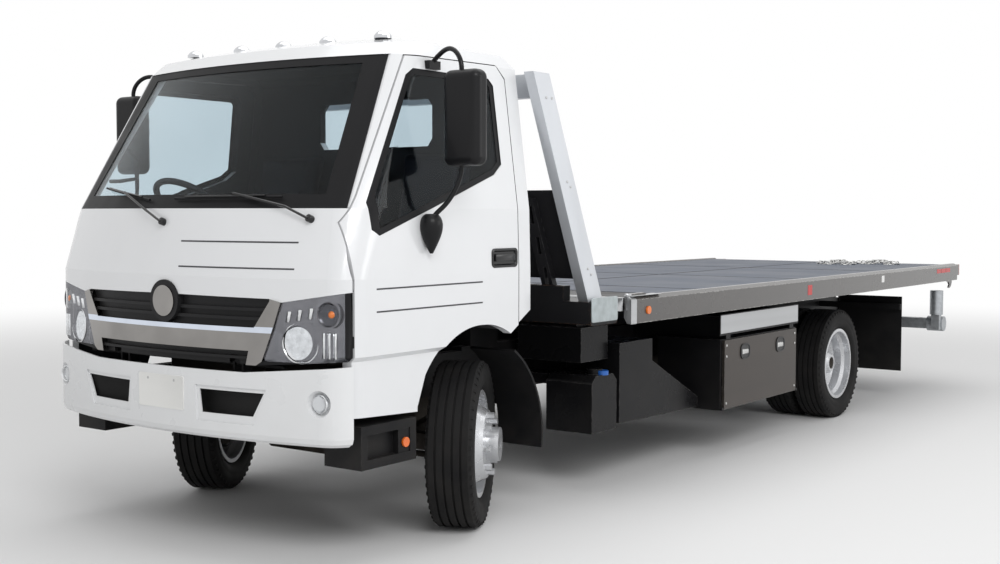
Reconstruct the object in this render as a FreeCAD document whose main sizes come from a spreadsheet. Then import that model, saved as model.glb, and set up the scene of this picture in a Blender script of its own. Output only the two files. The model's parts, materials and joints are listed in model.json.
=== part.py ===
import FreeCAD, Part
import Sketcher
import math
import os
import re

from FreeCAD import Placement, Rotation, Vector

# Flatbed tow truck: a cab-over chassis with a tilting, sliding carrier deck.
# It faces -Y, its left side is +X, and it stands on Z = 0.

doc = FreeCAD.newDocument("flatbed_tow_truck")
dims = doc.addObject("Spreadsheet::Sheet", "dims")

SIZES = {
    # layout along the truck
    "wheelbase": 4400,
    "nose_reach": 1115,
    "tail_reach": 2460,
    "axle_height": 405,
    # chassis rails, channels that open inwards
    "rail_half_spread": 425,
    "rail_height": 216,
    "rail_flange": 70,
    "rail_wall": 7,
    "rail_top": 790,
    "rail_front": 1010,
    "rail_rear": 1720,
    "cross_width": 80,
    "cross_height": 120,
    "cross_drop": 40,
    "cross_front": 900,
    "cross_gearbox": 1420,
    "cross_cylinder": 2370,
    "cross_mid": 5000,
    "end_cross_width": 50,
    "end_cross_inset": 60,
    "end_cross_height": 80,
    "end_cross_drop": 10,
    # tyres and wheels
    "tyre_radius": 405,
    "tyre_width": 226,
    "tread_width": 186,
    "tyre_bead_radius": 250.3,
    "bead_half_width": 84,
    "tread_groove_width": 10,
    "tread_groove_depth": 11,
    "tread_groove_pitch": 40,
    "rim_flange_radius": 262,
    "rim_half_width": 95,
    "rim_seat_radius": 250,
    "rim_well_radius": 228,
    "rim_wall": 9,
    "disc_offset": 127.5,
    "disc_wall": 12,
    "disc_flat_radius": 165,
    "hub_radius": 82,
    "hub_bore": 30.05,
    "stud_circle": 137.5,
    "stud_count": 8,
    "nut_radius": 17,
    "nut_length": 34,
    "front_half_track": 832.5,
    "dual_gap": 255,
    "rear_half_track": 825,
    # steering
    "kingpin_x": 715,
    "kingpin_radius": 16,
    "kingpin_height": 210,
    "steer_angle": 28,
    "steer_arm": 195,
    "steer_arm_drop": 70,
    "tie_rod_radius": 16,
    "ball_radius": 19,
    "spindle_radius": 30,
    "brake_radius": 160,
    # front axle beam
    "beam_height": 80,
    "beam_width": 70,
    "beam_drop": 95,
    "beam_drop_x": 420,
    "beam_rise_x": 560,
    "beam_eye_radius": 40,
    "beam_eye_height": 90,
    # rear axle
    "axle_tube_radius": 62,
    "diff_radius": 165,
    "diff_half_width": 120,
    "diff_nose": 300,
    "rear_spindle_radius": 45,
    "rear_hub_bore": 45.06,
    "drum_radius": 165,
    # leaf springs
    "spring_x": 390,
    "spring_width": 64,
    "spring_half_length": 590,
    "spring_eye_height": 545,
    "front_spring_seat": 396,
    "rear_spring_seat": 475,
    "spring_thickness": 46,
    # engine, gearbox and driveshaft
    "engine_front": -350,
    "engine_length": 660,
    "engine_half_width": 300,
    "engine_bottom": 420,
    "engine_top": 1080,
    "gearbox_length": 650,
    "gearbox_half_width": 190,
    "gearbox_height": 330,
    "shaft_radius": 45,
    "shaft_z": 500,
    "radiator_y": -780,
    "radiator_depth": 90,
    "radiator_half_width": 330,
    "radiator_bottom": 520,
    "radiator_top": 900,
    # tanks between the cab and the toolbox
    "fuel_front": 1050,
    "fuel_length": 1000,
    "fuel_inner_x": 440,
    "fuel_outer_x": 980,
    "fuel_bottom": 340,
    "fuel_top": 740,
    "fuel_round": 90,
    "fluid_front": 1030,
    "fluid_rear": 1290,
    "fluid_inner_x": 660,
    "fluid_outer_x": 960,
    "fluid_bottom": 325,
    "fluid_top": 640,
    "fluid_round": 40,
    "cap_radius": 45,
    "cap_height": 30,
    "tank_bracket": 50,
    # steps below the doors
    "step_front": -850,
    "step_rear": -485,
    "step_inner_x": 760,
    "step_outer_x": 975,
    "step_bottom": 430,
    "step_top": 618,
    "step_tread": 40,
    # liners behind the front wheels
    "liner_radius": 520,
    "liner_thickness": 12,
    "liner_inner_x": 700,
    "liner_outer_x": 975,
    "liner_low_angle": -8,
    "liner_high_angle": 58,
    # flaps behind the rear wheels
    "flap_y": 5600,
    "flap_thickness": 10,
    "flap_inner_x": 590,
    "flap_outer_x": 1120,
    "flap_bottom": 235,
    "flap_top": 850,
    "flap_bar": 46,
    # toolboxes
    "box_front": 2340,
    "box_length": 1160,
    "box_inner_x": 640,
    "box_outer_x": 1100,
    "box_bottom": 305,
    "box_top": 747,
    "box_wall": 20,
    "box_door_wall": 18,
    "box_door_gap": 6,
    "box_hinge_radius": 9,
    "shelf_top": 906,
    "shelf_bottom": 775,
    "shelf_wall": 8,
    # fixed subframe on the chassis rails
    "subframe_height": 20,
    "subframe_front": 560,
    "subframe_rear": 5940,
    "pivot_y": 6050,
    "pivot_z": 868,
    "pivot_radius": 22,
    "pivot_ear": 14,
    "pivot_ear_half": 60,
    # headboard behind the cab
    "cross_beam_front": 640,
    "cross_beam_rear": 890,
    "cross_beam_bottom": 964,
    "cross_beam_top": 1079,
    "cross_beam_half": 1195,
    "beam_cap": 60,
    "tower_half": 300,
    "post_base_z": 1079,
    "post_top_z": 2235,
    "post_base_front": 700,
    "post_top_front": 392,
    "post_depth": 142,
    "post_base_x": 1138,
    "post_top_x": 1005,
    "post_width": 58,
    "head_bar_height": 120,
    "head_bar_depth": 55,
    "shield_bottom": 1190,
    "shield_top": 1650,
    "shield_wall": 6,
    # tilt frame that carries the deck
    "tilt_rail_x": 390,
    "tilt_rail_width": 64,
    "tilt_rail_bottom": 818,
    "tilt_rail_top": 925,
    "tilt_front": 1250,
    "tilt_rear": 6420,
    "tilt_cross": 60,
    "pad_height": 4.7,
    # deck
    "deck_half_width": 1220,
    "deck_front": 1000,
    "deck_rear": 6780,
    "deck_floor": 1080,
    "deck_plate": 14,
    "sill_bottom": 930,
    "sill_width": 64,
    "channel_bottom": 1012,
    "channel_width": 56,
    "channel_pitch": 470,
    "channel_count": 12,
    "side_rail_width": 66,
    "side_rail_top": 1090,
    "side_rail_shoulder": 18,
    "deck_corner": 70,
    "corner_lip_length": 240,
    "side_rail_bottom": 945,
    "end_bar": 60,
    # winch on the deck
    "winch_y": 1290,
    "winch_z": 1235,
    "winch_plate_gap": 250,
    "winch_plate": 12,
    "winch_plate_half": 125,
    "winch_shaft": 24,
    "drum_core": 62,
    "drum_flange": 112,
    "drum_flange_wall": 8,
    # wheel lift under the tail
    "lift_z": 595,
    "lift_front": 5230,
    "lift_rear": 6460,
    "lift_outer": 130,
    "lift_wall": 10,
    "lift_clearance": 5,
    "stinger_front": 5320,
    "stinger_rear": 6555,
    "crossbar_y": 6655,
    "crossbar_z": 555,
    "crossbar_size": 92,
    "crossbar_half": 1150,
    "crossbar_post": 70,
    "crossbar_post_top": 860,
    "swivel_radius": 30,
    "receiver_x": 940,
    "receiver_radius": 18,
    "hanger_wall": 14,
    # tilt cylinders
    "cylinder_x": 250,
    "barrel_y": 2450,
    "barrel_z": 600,
    "eye_y": 3900,
    "eye_z": 872,
    "barrel_radius": 52,
    "barrel_bore": 46,
    "rod_radius": 28,
    "barrel_length": 1180,
    "eye_radius": 34,
    "eye_pin": 20,
    # cab shell
    "cab_half_width": 995,
    "cab_low_half_width": 972,
    "cab_head_half_width": 897,
    "cab_nose": 1085,
    "cab_back": 385,
    "cab_bottom": 600,
    "cab_waist": 900,
    "cab_belt": 1250,
    "screen_foot": 1550,
    "screen_foot_setback": 47,
    "screen_head": 2245,
    "screen_head_setback": 485,
    "roof_edge": 2308,
    "roof_top": 2342,
    "nose_bow": 3380,
    "nose_corner": 140,
    "screen_bow": 2600,
    "screen_corner": 190,
    "head_bow": 3000,
    "head_corner": 150,
    "cab_wall": 45,
    "nose_bottom": 872,
    "arch_height": 1000,
    "panel_gap": 5,
    "glass_inset": 7,
    "glass_wall": 6,
    # doors
    "door_front": -892,
    "door_rear": 283,
    "door_bottom": 640,
    "door_head_front": -437,
    "door_head": 2238,
    "door_foot_front": -818,
    "hinge_x": 960,
    "hinge_y": -872,
    "hinge_low": 960,
    "hinge_high": 1200,
    "hinge_skin": 4,
    "hinge_height": 50,
    "hinge_notch": 44,
    "hinge_pin": 10,
    "door_corner_depth": 80,
    # mirrors on the doors
    "mirror_x": 1150,
    "mirror_y": -350,
    "mirror_half_width": 100,
    "mirror_depth": 100,
    "mirror_bottom": 1740,
    "mirror_top": 2165,
    "mirror_round": 38,
    "mirror_arm_radius": 11,
    # cab inside
    "floor_z": 950,
    "floor_wall": 30,
    "tunnel_y": -400,
    "tunnel_top": 1190,
    "floor_half": 922,
    "inner_arch_radius": 600,
    "seat_base": 1190,
    "seat_x": 520,
    "seat_half_width": 240,
    "seat_front": -290,
    "seat_rear": 200,
    "seat_height": 120,
    "seat_back_top": 1880,
    "seat_back_wall": 110,
    "middle_seat_half": 190,
    "dash_front": -1040,
    "dash_rear": -720,
    "dash_bottom": 1180,
    "dash_top": 1500,
    "dash_half": 866,
    "wheel_x": -430,
    "wheel_y": -545,
    "wheel_z": 1560,
    "wheel_ring": 205,
    "wheel_tube": 16,
    "wheel_tilt": 38,
    # lamps on the roof
    "lamp_y": -330,
    "lamp_inner_x": 300,
    "lamp_outer_x": 650,
    "lamp_radius": 42,
    "lamp_base": 12,
    "lamp_height": 26,
    # bumper
    "bumper_outset": 9,
    "bumper_wall": 10,
    "bumper_bottom": 540,
    "bumper_top": 842,
    "bumper_corner_top": 892,
    "bumper_flat_half": 500,
    "bumper_face": 1115,
    "bumper_end": -902,
    "plate_half_width": 152.5,
    "plate_bottom": 650,
    "plate_height": 152,
    "plate_hole_spacing": 178,
    "plate_hole_radius": 3.5,
    "plate_hole_z": 780,
    # cab tilt pivot
    "cab_pivot_y": -980,
    "cab_pivot_z": 885,
    "cab_pivot_x": 390,
    "cab_pivot_radius": 14,
    "cab_pivot_gap": 22,
    "cab_pivot_lug": 12,
    "cab_pivot_half": 26,
    # support that the cab's rear rests on
    "cab_rest_y": 260,
    "cab_rest_size": 45,
    "cab_rest_top": 1159.7,
    # tail lamps at the ends of the deck's side rails
    "tail_lamp_length": 80,
    "tail_lamp_width": 124,
    "tail_lamp_inset": 6,
    "tail_lamp_bottom": 985,
    "tail_lamp_top": 1080,
    "tail_lens": 14,
    # small marker lamps
    "marker_radius": 22,
    "marker_wall": 9,
    "deck_marker_y": 1180,
    "deck_marker_z": 1010,
    "step_marker_y": -555,
    "step_marker_z": 515,
    # openings, fog lamps and lower edge of the bumper
    "slot_inner_x": 240,
    "slot_outer_x": 600,
    "slot_foot_x": 543,
    "slot_top": 755,
    "slot_bottom": 651,
    "recess_margin": 18,
    "recess_depth": 8,
    "bumper_tuck": 22,
    "fog_x": 872,
    "fog_z": 726,
    "fog_radius": 34,
    "fog_mouth": 66,
    "fog_depth": 26,
    # grille
    "grille_corner_x": 673,
    "grille_corner_z": 1148,
    "grille_waist_x": 575,
    "grille_waist_z": 890,
    "grille_proud": 6,
    "grille_wall": 24,
    "grille_back": 42,
    "band_bottom": 934,
    "band_top": 1036,
    "badge_z": 1134,
    "badge_radius": 95,
    "badge_plate": 70,
    # headlamps
    "lens_wall": 5,
    "bowl_x": 762,
    "bowl_z": 978,
    "bowl_radius": 92,
    "bowl_setback": 52,
    "signal_x": 900,
    "signal_z": 1102,
    "signal_radius": 62,
    "signal_setback": 28,
    # door handle
    "handle_front": 64,
    "handle_rear": 269,
    "handle_low": 1272,
    "handle_high": 1357,
    # tank with a sloping end and the valve box above the fluid tank
    "oil_front": 1330,
    "oil_rear": 2285,
    "oil_inner_x": 600,
    "oil_outer_x": 955,
    "oil_bottom": 345,
    "oil_top": 800,
    "valve_front": 1010,
    "valve_rear": 1290,
    "valve_inner_x": 480,
    "valve_outer_x": 900,
    "valve_bottom": 715,
    "valve_top": 905,
    # winch bed and the tray in front of the headboard
    "winch_bed_rear": 1480,
    "winch_bed_top": 1078,
    "tray_half": 1024,
    "tray_top": 1157,
    "tray_rear": 706,
}

for row, (alias, amount) in enumerate(SIZES.items(), 1):
    dims.set("A%d" % row, alias)
    dims.set("B%d" % row, str(amount))
    dims.setAlias("B%d" % row, alias)
doc.recompute()


def mm(alias):
    """A size from the sheet, as a number."""
    return float(dims.get(alias))


def cell(formula):
    """The same formula with each size's name pointed at its cell in the sheet."""
    def point(match):
        word = match.group(0)
        return "dims." + word if word in SIZES else word
    return re.sub(r"[a-z_][a-z_0-9]*", point, str(formula))


# the axles' places along the truck, as formulas and as numbers
FRONT = "((nose_reach - wheelbase - tail_reach) / 2)"
REAR = "((nose_reach + wheelbase - tail_reach) / 2)"
front_y = (mm("nose_reach") - mm("wheelbase") - mm("tail_reach")) / 2
rear_y = front_y + mm("wheelbase")

nodes = []


def node(thing, label):
    """Name a finished sub-part, so that it is written out."""
    thing.Label = label
    nodes.append(thing)
    return thing


def block(name, x, y, z):
    """A box between pairs of low and high faces, each a formula. Y counts from the front axle."""
    thing = doc.addObject("Part::Box", name)
    for side, axis, (low, high) in (("Length", "x", x), ("Width", "y", y), ("Height", "z", z)):
        shift = FRONT + " + " if axis == "y" else ""
        thing.setExpression(side, cell("(%s) - (%s)" % (high, low)))
        thing.setExpression(".Placement.Base." + axis, cell("%s(%s)" % (shift, low)))
    return thing


TURNS = {"x": Rotation(Vector(0, 1, 0), 90), "y": Rotation(Vector(1, 0, 0), -90), "z": Rotation()}


def rod(name, axis, radius, length, x, y, z):
    """A cylinder that starts at a point and runs along +X, +Y or +Z. Y counts from the front axle."""
    thing = doc.addObject("Part::Cylinder", name)
    thing.Placement = Placement(Vector(), TURNS[axis])
    thing.setExpression("Radius", cell(radius))
    thing.setExpression("Height", cell(length))
    thing.setExpression(".Placement.Base.x", cell(x))
    thing.setExpression(".Placement.Base.y", cell("%s + (%s)" % (FRONT, y)))
    thing.setExpression(".Placement.Base.z", cell(z))
    return thing


def fuse(name, *things):
    joined = doc.addObject("Part::MultiFuse", name)
    joined.Shapes = list(things)
    return joined


def cut(name, base, *tools):
    result = doc.addObject("Part::Cut", name)
    result.Base = base
    result.Tool = tools[0] if len(tools) == 1 else fuse(name + "_tools", *tools)
    return result


def together(name, *things):
    """Separate solids of one sub-part, side by side."""
    group = doc.addObject("Part::Compound", name)
    group.Links = list(things)
    return group


def mirrored(name, thing):
    """The same piece on the other side of the truck."""
    other = doc.addObject("Part::Mirroring", name)
    other.Source = thing
    other.Normal = Vector(1, 0, 0)
    return other


def pair(name, thing):
    return fuse(name, thing, mirrored(name + "_other", thing))


def outline(sketch, corners):
    """A closed outline whose corners are held by formulas, measured from the sketch's origin."""
    count = len(corners)
    start = [Vector(100 * math.cos(2 * math.pi * k / count), 100 * math.sin(2 * math.pi * k / count), 0)
             for k in range(count)]
    for k in range(count):
        sketch.addGeometry(Part.LineSegment(start[k], start[(k + 1) % count]))
    for k in range(count):
        sketch.addConstraint(Sketcher.Constraint("Coincident", k, 2, (k + 1) % count, 1))
    for k, (across, up) in enumerate(corners):
        for kind, formula, guess in (("DistanceX", across, start[k].x), ("DistanceY", up, start[k].y)):
            index = sketch.addConstraint(Sketcher.Constraint(kind, -1, 1, k, 1, guess))
            sketch.setExpression("Constraints[%d]" % index, cell(formula))


def sketched(name, plane, corners, offset="0"):
    """A body with one sketch on an origin plane, moved along the plane's normal."""
    body = doc.addObject("PartDesign::Body", name)
    sketch = body.newObject("Sketcher::SketchObject", name + "_outline")
    origin_plane = [f for f in body.Origin.OriginFeatures if f.Role == plane + "_Plane"][0]
    sketch.AttachmentSupport = [(origin_plane, "")]
    sketch.MapMode = "FlatFace"
    sketch.setExpression(".AttachmentOffset.Base.z", cell(offset))
    outline(sketch, corners)
    return body, sketch


def padded(name, plane, corners, low, high):
    """A sketched outline padded between two places on its normal, along +X, +Y or +Z."""
    if plane == "XZ":
        offset = "-(%s + (%s))" % (FRONT, high)
    else:
        offset = low
    body, sketch = sketched(name, plane, corners, offset)
    pad = body.newObject("PartDesign::Pad", name + "_pad")
    pad.Profile = sketch
    pad.setExpression("Length", cell("(%s) - (%s)" % (high, low)))
    return body


def side_plate(name, corners, low, high):
    """A plate seen from the side: corners are (distance behind the front axle, height)."""
    return padded(name, "YZ", [("%s + (%s)" % (FRONT, y), z) for y, z in corners], low, high)


def revolved(name, corners):
    """A turned piece about the X axis: corners are (along, radius)."""
    body, sketch = sketched(name, "XZ", corners)
    turn = body.newObject("PartDesign::Revolution", name + "_turn")
    turn.Profile = sketch
    turn.ReferenceAxis = (sketch, ["H_Axis"])
    turn.Angle = 360
    return body


def feature(name, shape):
    """A piece whose shape is worked out from the sheet's values."""
    thing = doc.addObject("Part::Feature", name)
    thing.Shape = shape
    return thing


def at(x, y, z):
    """A point in the truck's frame, with y counted from the front axle."""
    return Vector(x, front_y + y, z)


def prism_x(points, low, high):
    """A solid whose outline is seen from the side, between two values of x."""
    wire = Part.makePolygon([at(low, y, z) for y, z in points + points[:1]])
    return Part.Face(wire).extrude(Vector(high - low, 0, 0))


def prism_y(points, low, high):
    """A solid whose outline is seen from the front, between two values of y."""
    wire = Part.makePolygon([at(x, low, z) for x, z in points + points[:1]])
    return Part.Face(wire).extrude(Vector(0, high - low, 0))


def slab(x, y, z):
    """A plain box as a shape, between low and high faces."""
    return Part.makeBox(x[1] - x[0], y[1] - y[0], z[1] - z[0], at(x[0], y[0], z[0]))


def flip(shape):
    return shape.mirror(Vector(0, 0, 0), Vector(1, 0, 0))


# Chassis frame: two channel rails joined by cross members, and the ends of the spring hangers.
rail_z = "rail_top - rail_height"
rail_in = "rail_half_spread - rail_wall"
rail_lip = "rail_half_spread - rail_flange"
rail = padded("rail", "XZ", [
    ("rail_half_spread", rail_z), ("rail_half_spread", "rail_top"), (rail_lip, "rail_top"),
    (rail_lip, "rail_top - rail_wall"), (rail_in, "rail_top - rail_wall"),
    (rail_in, rail_z + " + rail_wall"), (rail_lip, rail_z + " + rail_wall"), (rail_lip, rail_z)],
    "-rail_front", "wheelbase + rail_rear")
members = []
for number, place in enumerate(("-cross_front", "cross_gearbox", "cross_cylinder", "cross_mid")):
    members.append(block("cross_%d" % number, ("-(%s)" % rail_in, rail_in),
                         ("%s - cross_width / 2" % place, "%s + cross_width / 2" % place),
                         ("rail_top - cross_drop - cross_height", "rail_top - cross_drop")))
members.append(block("cross_end", ("-(%s)" % rail_in, rail_in),
                     ("wheelbase + rail_rear - end_cross_inset - end_cross_width",
                      "wheelbase + rail_rear - end_cross_inset"),
                     ("rail_top - end_cross_drop - end_cross_height", "rail_top - end_cross_drop")))
barrel_lugs = []
for number, side in enumerate(("-barrel_radius - 20", "barrel_radius + 6")):
    lug = side_plate("barrel_lug_%d" % number, [
        ("cross_cylinder", "barrel_z - eye_radius"), ("barrel_y + eye_radius", "barrel_z - eye_radius"),
        ("barrel_y + eye_radius", "barrel_z + eye_radius"),
        ("cross_cylinder + cross_width / 2", "rail_top - cross_drop - cross_height + 30"),
        ("cross_cylinder - cross_width / 2", "rail_top - cross_drop - cross_height + 30")],
        "cylinder_x + " + side, "cylinder_x + %s + 14" % side)
    barrel_lugs.append(lug)
barrel_pin = rod("barrel_pin", "x", "eye_pin", "2 * barrel_radius + 40", "cylinder_x - barrel_radius - 20",
                 "barrel_y", "barrel_z")
cab_lugs = []
for number, side in enumerate(("-cab_pivot_gap - cab_pivot_lug", "cab_pivot_gap")):
    cab_lugs.append(side_plate("cab_lug_%d" % number, [
        ("cab_pivot_y - cab_pivot_half", "rail_top - 60"), ("cab_pivot_y + cab_pivot_half + 60", "rail_top - 60"),
        ("cab_pivot_y + cab_pivot_half", "rail_top + 40"), ("cab_pivot_y + cab_pivot_half", "cab_pivot_z + cab_pivot_half - 8"),
        ("cab_pivot_y + cab_pivot_half - 14", "cab_pivot_z + cab_pivot_half"),
        ("cab_pivot_y - cab_pivot_half + 14", "cab_pivot_z + cab_pivot_half"),
        ("cab_pivot_y - cab_pivot_half", "cab_pivot_z + cab_pivot_half - 8")],
        "cab_pivot_x + " + side, "cab_pivot_x + %s + cab_pivot_lug" % side))
cab_pin = rod("cab_pin", "x", "cab_pivot_radius", "2 * (cab_pivot_gap + cab_pivot_lug)",
              "cab_pivot_x - cab_pivot_gap - cab_pivot_lug", "cab_pivot_y", "cab_pivot_z")
rest_post = block("rest_post", ("rail_half_spread - cab_rest_size - 8", "rail_half_spread - 8"),
                  ("cab_rest_y", "cab_rest_y + cab_rest_size"), ("rail_top", "cab_rest_top"))
rest_bar = block("rest_bar", ("-rail_half_spread + 8", "rail_half_spread - 8"),
                 ("cab_rest_y", "cab_rest_y + cab_rest_size"), ("cab_rest_top - cab_rest_size", "cab_rest_top"))
frame = fuse("frame_all", rail, mirrored("rail_right", rail), rest_bar,
             pair("lugs", fuse("lug_set", *barrel_lugs, barrel_pin, *cab_lugs, cab_pin, rest_post)), *members)
node(frame, "chassis_frame")


# Wheels: tubeless tyres on steel rims with a dished disc, one hub and ring of nuts each.
def tyre_shape():
    """The tyre's section turned about its axle, with round sidewalls and four grooves in the tread."""
    half, tread, radius = mm("tyre_width") / 2, mm("tread_width") / 2, mm("tyre_radius")
    bead, seat = mm("bead_half_width"), mm("tyre_bead_radius")
    flange = mm("rim_flange_radius") + 3
    widest = (seat + radius) / 2
    shoulder = radius - (half - tread)
    points = [Vector(-bead, 0, seat), Vector(-bead, 0, flange), Vector(-half, 0, widest),
              Vector(-tread, 0, radius)]
    edges = [Part.makeLine(points[0], points[1]),
             Part.Arc(points[1], Vector(-half + 4, 0, (flange + widest) / 2), points[2]).toShape(),
             Part.Arc(points[2], Vector(-half + 5, 0, shoulder - 4), points[3]).toShape()]
    walk = points[3]
    depth, width, pitch = mm("tread_groove_depth"), mm("tread_groove_width"), mm("tread_groove_pitch")
    for k in range(4):
        middle = (k - 1.5) * pitch
        for x, z in ((middle - width / 2, radius), (middle - width / 2, radius - depth),
                     (middle + width / 2, radius - depth), (middle + width / 2, radius)):
            edges.append(Part.makeLine(walk, Vector(x, 0, z)))
            walk = Vector(x, 0, z)
    edges.append(Part.makeLine(walk, Vector(tread, 0, radius)))
    edges.append(Part.Arc(Vector(tread, 0, radius), Vector(half - 5, 0, shoulder - 4),
                          Vector(half, 0, widest)).toShape())
    edges.append(Part.Arc(Vector(half, 0, widest), Vector(half - 4, 0, (flange + widest) / 2),
                          Vector(bead, 0, flange)).toShape())
    edges.append(Part.makeLine(Vector(bead, 0, flange), Vector(bead, 0, seat)))
    edges.append(Part.makeLine(Vector(bead, 0, seat), Vector(-bead, 0, seat)))
    return Part.Face(Part.Wire(edges)).revolve(Vector(), Vector(1, 0, 0), 360)


def rim_body(name, bore, hub_far, hub_near):
    """A rim, disc and hub about the X axis, its disc towards +X, with a ring of nuts on the disc."""
    body = revolved(name + "_turned", [
        ("-rim_half_width", "rim_flange_radius"), ("-rim_half_width + 8", "rim_flange_radius"),
        ("-rim_half_width + 9", "rim_seat_radius"), ("-rim_half_width / 2", "rim_seat_radius - 2"),
        ("-rim_half_width / 3", "rim_well_radius"), ("rim_half_width / 3", "rim_well_radius"),
        ("rim_half_width / 2", "rim_seat_radius - 2"), ("rim_half_width - 9", "rim_seat_radius"),
        ("rim_half_width - 8", "rim_flange_radius"), ("rim_half_width", "rim_flange_radius"),
        ("rim_half_width", "rim_seat_radius - rim_wall"), ("rim_half_width / 2 + 6", "rim_seat_radius - rim_wall - 3"),
        ("rim_half_width / 3 + 8", "rim_well_radius - rim_wall"), ("disc_offset - 20", "disc_flat_radius + 10"),
        ("disc_offset", "disc_flat_radius"), ("disc_offset", "hub_radius"),
        (hub_far, "hub_radius"), (hub_far, bore), (hub_near, bore), (hub_near, "hub_radius"),
        ("disc_offset - disc_wall", "hub_radius"), ("disc_offset - disc_wall", "disc_flat_radius - 5"),
        ("disc_offset - 32", "disc_flat_radius + 2"), ("rim_half_width / 3 - 6", "rim_well_radius - rim_wall - 2"),
        ("-rim_half_width / 3", "rim_well_radius - rim_wall"), ("-rim_half_width / 2 - 6", "rim_seat_radius - rim_wall - 3"),
        ("-rim_half_width", "rim_seat_radius - rim_wall")])
    nuts = []
    count = int(mm("stud_count"))
    for k in range(count):
        nut = doc.addObject("Part::Prism", "%s_nut_%d" % (name, k))
        nut.Polygon = 6
        nut.Placement = Placement(Vector(), TURNS["x"])
        nut.setExpression("Circumradius", cell("nut_radius"))
        nut.setExpression("Height", cell("nut_length"))
        nut.setExpression(".Placement.Base.x", cell("disc_offset"))
        nut.setExpression(".Placement.Base.y", cell("stud_circle * cos(%g)" % (360 * k / count)))
        nut.setExpression(".Placement.Base.z", cell("stud_circle * sin(%g)" % (360 * k / count)))
        nuts.append(nut)
    return fuse(name, body, *nuts)


tyre = tyre_shape()
doc.recompute()
front_rim = rim_body("front_rim", "hub_bore", "disc_offset + 62", "-10")
rear_rim = rim_body("rear_rim", "rear_hub_bore", "disc_offset + 1", "disc_offset - 80")
rear_hub = revolved("rear_hub", [
    ("disc_offset + 1", "hub_radius"), ("disc_offset + 150", "hub_radius"), ("disc_offset + 170", "hub_radius - 20"),
    ("disc_offset + 170", "rear_hub_bore"), ("disc_offset + 1", "rear_hub_bore")])
doc.recompute()

steer = mm("steer_angle")
kingpin = {"left": at(mm("kingpin_x"), 0, mm("axle_height")), "right": at(-mm("kingpin_x"), 0, mm("axle_height"))}


def steered(shape, side):
    """A front piece turned about its kingpin to the angle at which the truck stands."""
    turned = shape.copy()
    turned.rotate(kingpin[side], Vector(0, 0, 1), steer)
    return turned


def placed(shape, x, y, half_turn=False):
    """A turned shape moved to a wheel's centre, with its disc towards +X or, half turned, towards -X."""
    moved = shape.copy()
    if half_turn:
        moved.rotate(Vector(), Vector(0, 0, 1), 180)
    moved.translate(Vector(x, y, mm("axle_height")))
    return moved


for side, sign in (("left", 1), ("right", -1)):
    x = sign * mm("front_half_track")
    node(feature("tyre_front_" + side, steered(placed(tyre, x, front_y), side)), "tyre_front_" + side)
    node(feature("rim_front_" + side, steered(placed(front_rim.Shape, x, front_y, sign < 0), side)),
         "rim_front_" + side)

for side, sign in (("left", 1), ("right", -1)):
    outer = sign * (mm("rear_half_track") + mm("dual_gap") / 2)
    inner = sign * (mm("rear_half_track") - mm("dual_gap") / 2)
    tyres = Part.makeCompound([placed(tyre, outer, rear_y), placed(tyre, inner, rear_y)])
    node(feature("tyres_rear_" + side, tyres), "tyres_rear_" + side)
    inner_rim = placed(rear_rim.Shape, inner, rear_y, sign < 0)
    outer_rim = placed(rear_rim.Shape, outer, rear_y, sign > 0)
    hub = placed(rear_hub.Shape, inner, rear_y, sign < 0)
    node(feature("rims_rear_" + side, inner_rim.fuse([outer_rim, hub])), "rims_rear_" + side)

# Front axle: a dropped beam with an eye for the kingpin at each end.
beam_low = "axle_height - beam_drop"
beam = padded("beam", "XZ", [
    ("-kingpin_x", "axle_height - beam_height / 2"), ("-beam_rise_x", "axle_height - beam_height / 2"),
    ("-beam_drop_x", beam_low + " - beam_height / 2"), ("beam_drop_x", beam_low + " - beam_height / 2"),
    ("beam_rise_x", "axle_height - beam_height / 2"), ("kingpin_x", "axle_height - beam_height / 2"),
    ("kingpin_x", "axle_height + beam_height / 2"), ("beam_rise_x", "axle_height + beam_height / 2"),
    ("beam_drop_x", beam_low + " + beam_height / 2"), ("-beam_drop_x", beam_low + " + beam_height / 2"),
    ("-beam_rise_x", "axle_height + beam_height / 2"), ("-kingpin_x", "axle_height + beam_height / 2")],
    "-beam_width / 2", "beam_width / 2")
eyes = []
bores = []
for number, sign in enumerate(("", "-")):
    eyes.append(rod("beam_eye_%d" % number, "z", "beam_eye_radius", "beam_eye_height", sign + "kingpin_x", "0",
                    "axle_height - beam_eye_height / 2"))
    bores.append(rod("beam_bore_%d" % number, "z", "kingpin_radius + 0.05", "kingpin_height", sign + "kingpin_x",
                     "0", "axle_height - kingpin_height / 2"))
seats = block("spring_seat", ("spring_x - spring_width / 2", "spring_x + spring_width / 2"),
              ("-beam_width", "beam_width"), (beam_low, "front_spring_seat - spring_thickness / 2"))
node(cut("front_axle_all", fuse("beam_solid", beam, *eyes, pair("spring_seats", seats)), *bores),
     "front_axle_beam")

# Steering knuckles: a fork on the kingpin, a spindle, a brake drum and an arm for the tie rod.
axle_z = mm("axle_height")
pin_x = mm("kingpin_x")
eye_half = mm("beam_eye_height") / 2
pin_half = mm("kingpin_height") / 2
fork_half = mm("beam_eye_radius") + 2
fork_x = pin_x + mm("beam_eye_radius") + 10
drum_x = mm("front_half_track") - mm("rim_half_width") + 40
spindle_end = mm("front_half_track") + mm("disc_offset") + 40
hub_start = mm("front_half_track") - 10
pin = Part.makeCylinder(mm("kingpin_radius"), 2 * pin_half, at(pin_x, 0, axle_z - pin_half))
upper = slab((pin_x - 30, fork_x + 18), (-fork_half, fork_half), (axle_z + eye_half + 5, axle_z + pin_half))
lower = slab((pin_x - 30, fork_x + 18), (-fork_half, fork_half), (axle_z - pin_half, axle_z - eye_half - 5))
web = slab((fork_x, fork_x + 18), (-fork_half, fork_half), (axle_z - pin_half, axle_z + pin_half))
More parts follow.
